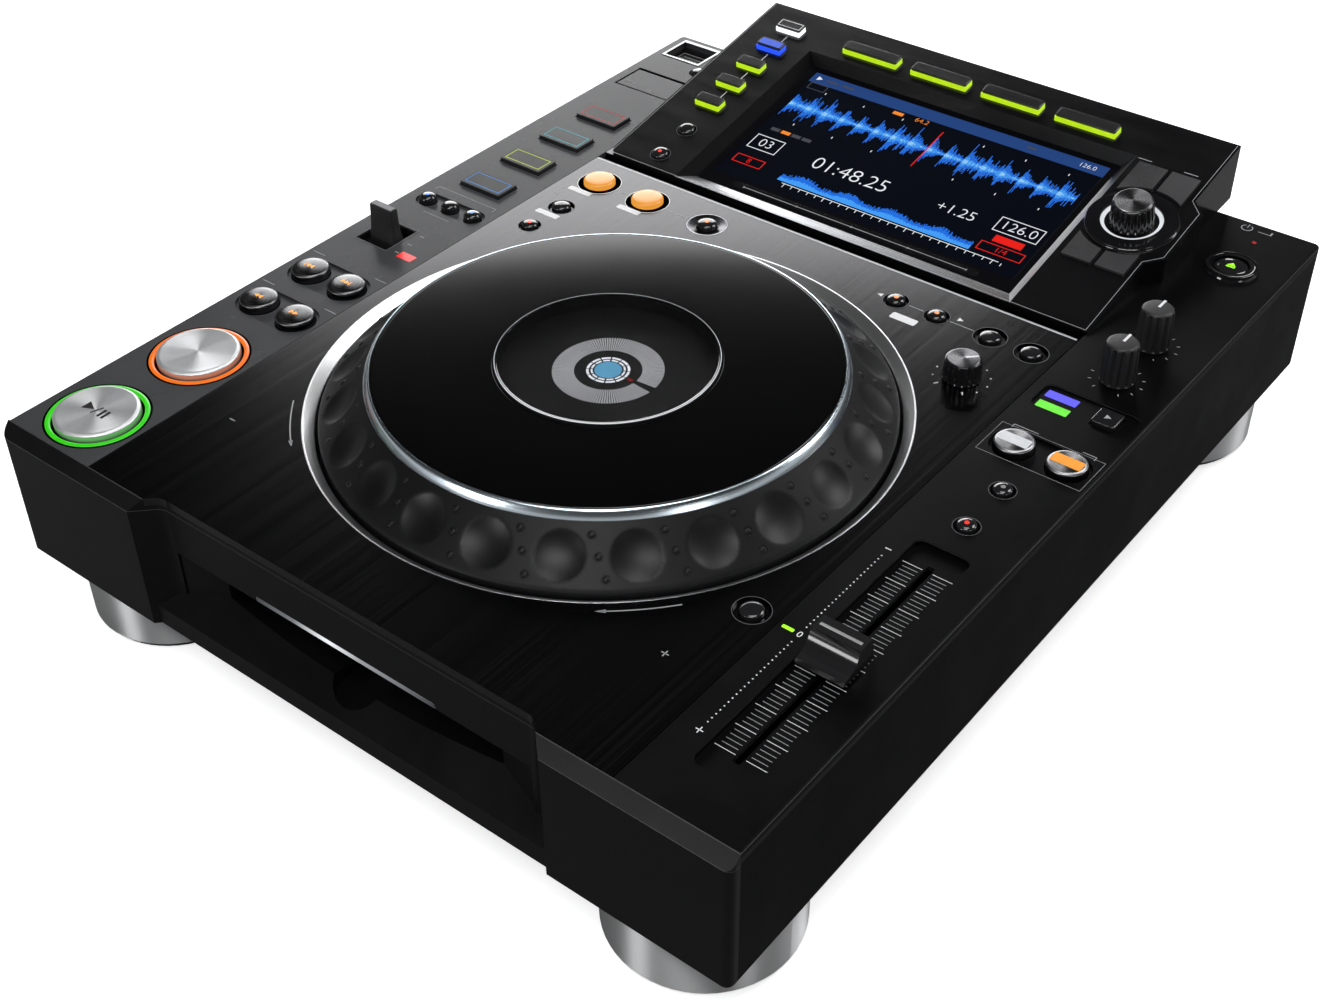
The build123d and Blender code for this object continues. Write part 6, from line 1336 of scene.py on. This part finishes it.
def pale_floor():
    """A pale floor that keeps its shadow, and shows darker where polished sides mirror it."""
    n = Nodes("pale_floor")
    seen = n.add("LightPath").outputs["Is Camera Ray"]
    pale = n.ramp(n.noise(0.01, 3.0), (0.3, (0.90, 0.90, 0.90)), (0.7, (0.92, 0.92, 0.92)))
    tone = n.mix(seen, MIRRORED_FLOOR, pale)
    return n.fit(
        Base_Color=tone,
        Emission_Color=tone,
        Emission_Strength=n.math("MULTIPLY", seen, FLOOR_GLOW),
        Roughness=1.0,
        Specular_IOR_Level=0.0,
    )


def surround():
    """White to the camera. To everything else a dark room with a pale band around its foot."""
    n = Nodes(bpy.data.worlds.new("surround"))
    height = n.add("SeparateXYZ", n.add("TexCoord").outputs["Generated"]).outputs["Z"]
    room = n.ramp(height, *[(position, (grey, grey, grey)) for position, grey in ROOM_BANDS])
    seen = n.add("LightPath").outputs["Is Camera Ray"]
    return n.fit(Color=n.mix(seen, room, WHITE))


floor_corners = [(x * FLOOR_HALF, y * FLOOR_HALF, -FLOOR_SINK) for x, y in CORNERS]
floor_data = bpy.data.meshes.new("floor")
floor_data.from_pydata(floor_corners, [], [range(4)])
floor_data.materials.append(pale_floor())
floor = bpy.data.objects.new("floor", floor_data)
bpy.context.scene.collection.objects.link(floor)
bpy.context.scene.world = surround()


def lamp(name, place, target, width, height, power):
    """A soft box that faces a target. Places and sizes are in metres, power in watts."""
    data = bpy.data.lights.new(name, "AREA")
    data.shape = "RECTANGLE"
    data.size, data.size_y = width, height
    data.energy = power
    light = bpy.data.objects.new(name, data)
    light.location = place
    light.rotation_euler = (Vector(target) - Vector(place)).to_track_quat("-Z", "Y").to_euler()
    bpy.context.scene.collection.objects.link(light)


MIDDLE = (0.0, 0.0, 0.05)
lamp("key_light", (0.35, -0.9, 1.5), MIDDLE, 0.9, 0.6, 12.0)
lamp("window_light", (-1.0, 1.15, 0.72), (-0.06, 0.1, 0.09), 1.0, 0.5, 8.0)
lamp("rim_light", (1.5, 1.4, 0.7), MIDDLE, 0.5, 0.5, 6.0)
lamp("front_light", (-0.5, -1.6, 0.5), MIDDLE, 0.5, 0.4, 6.0)
lamp("back_light", (-1.2, 1.7, 0.68), (-0.15, 0.15, 0.084), 1.6, 0.35, 9.0)
lamp("top_light", (0.1, 0.1, 1.8), MIDDLE, 0.7, 0.7, 9.0)
lamp("ring_light", (0.55, 0.95, 1.2), MIDDLE, 0.8, 0.5, 9.0)
lamp("side_light", (1.7, -0.6, 0.35), MIDDLE, 0.4, 0.5, 2.0)

bpy.context.scene.view_settings.view_transform = "Standard"
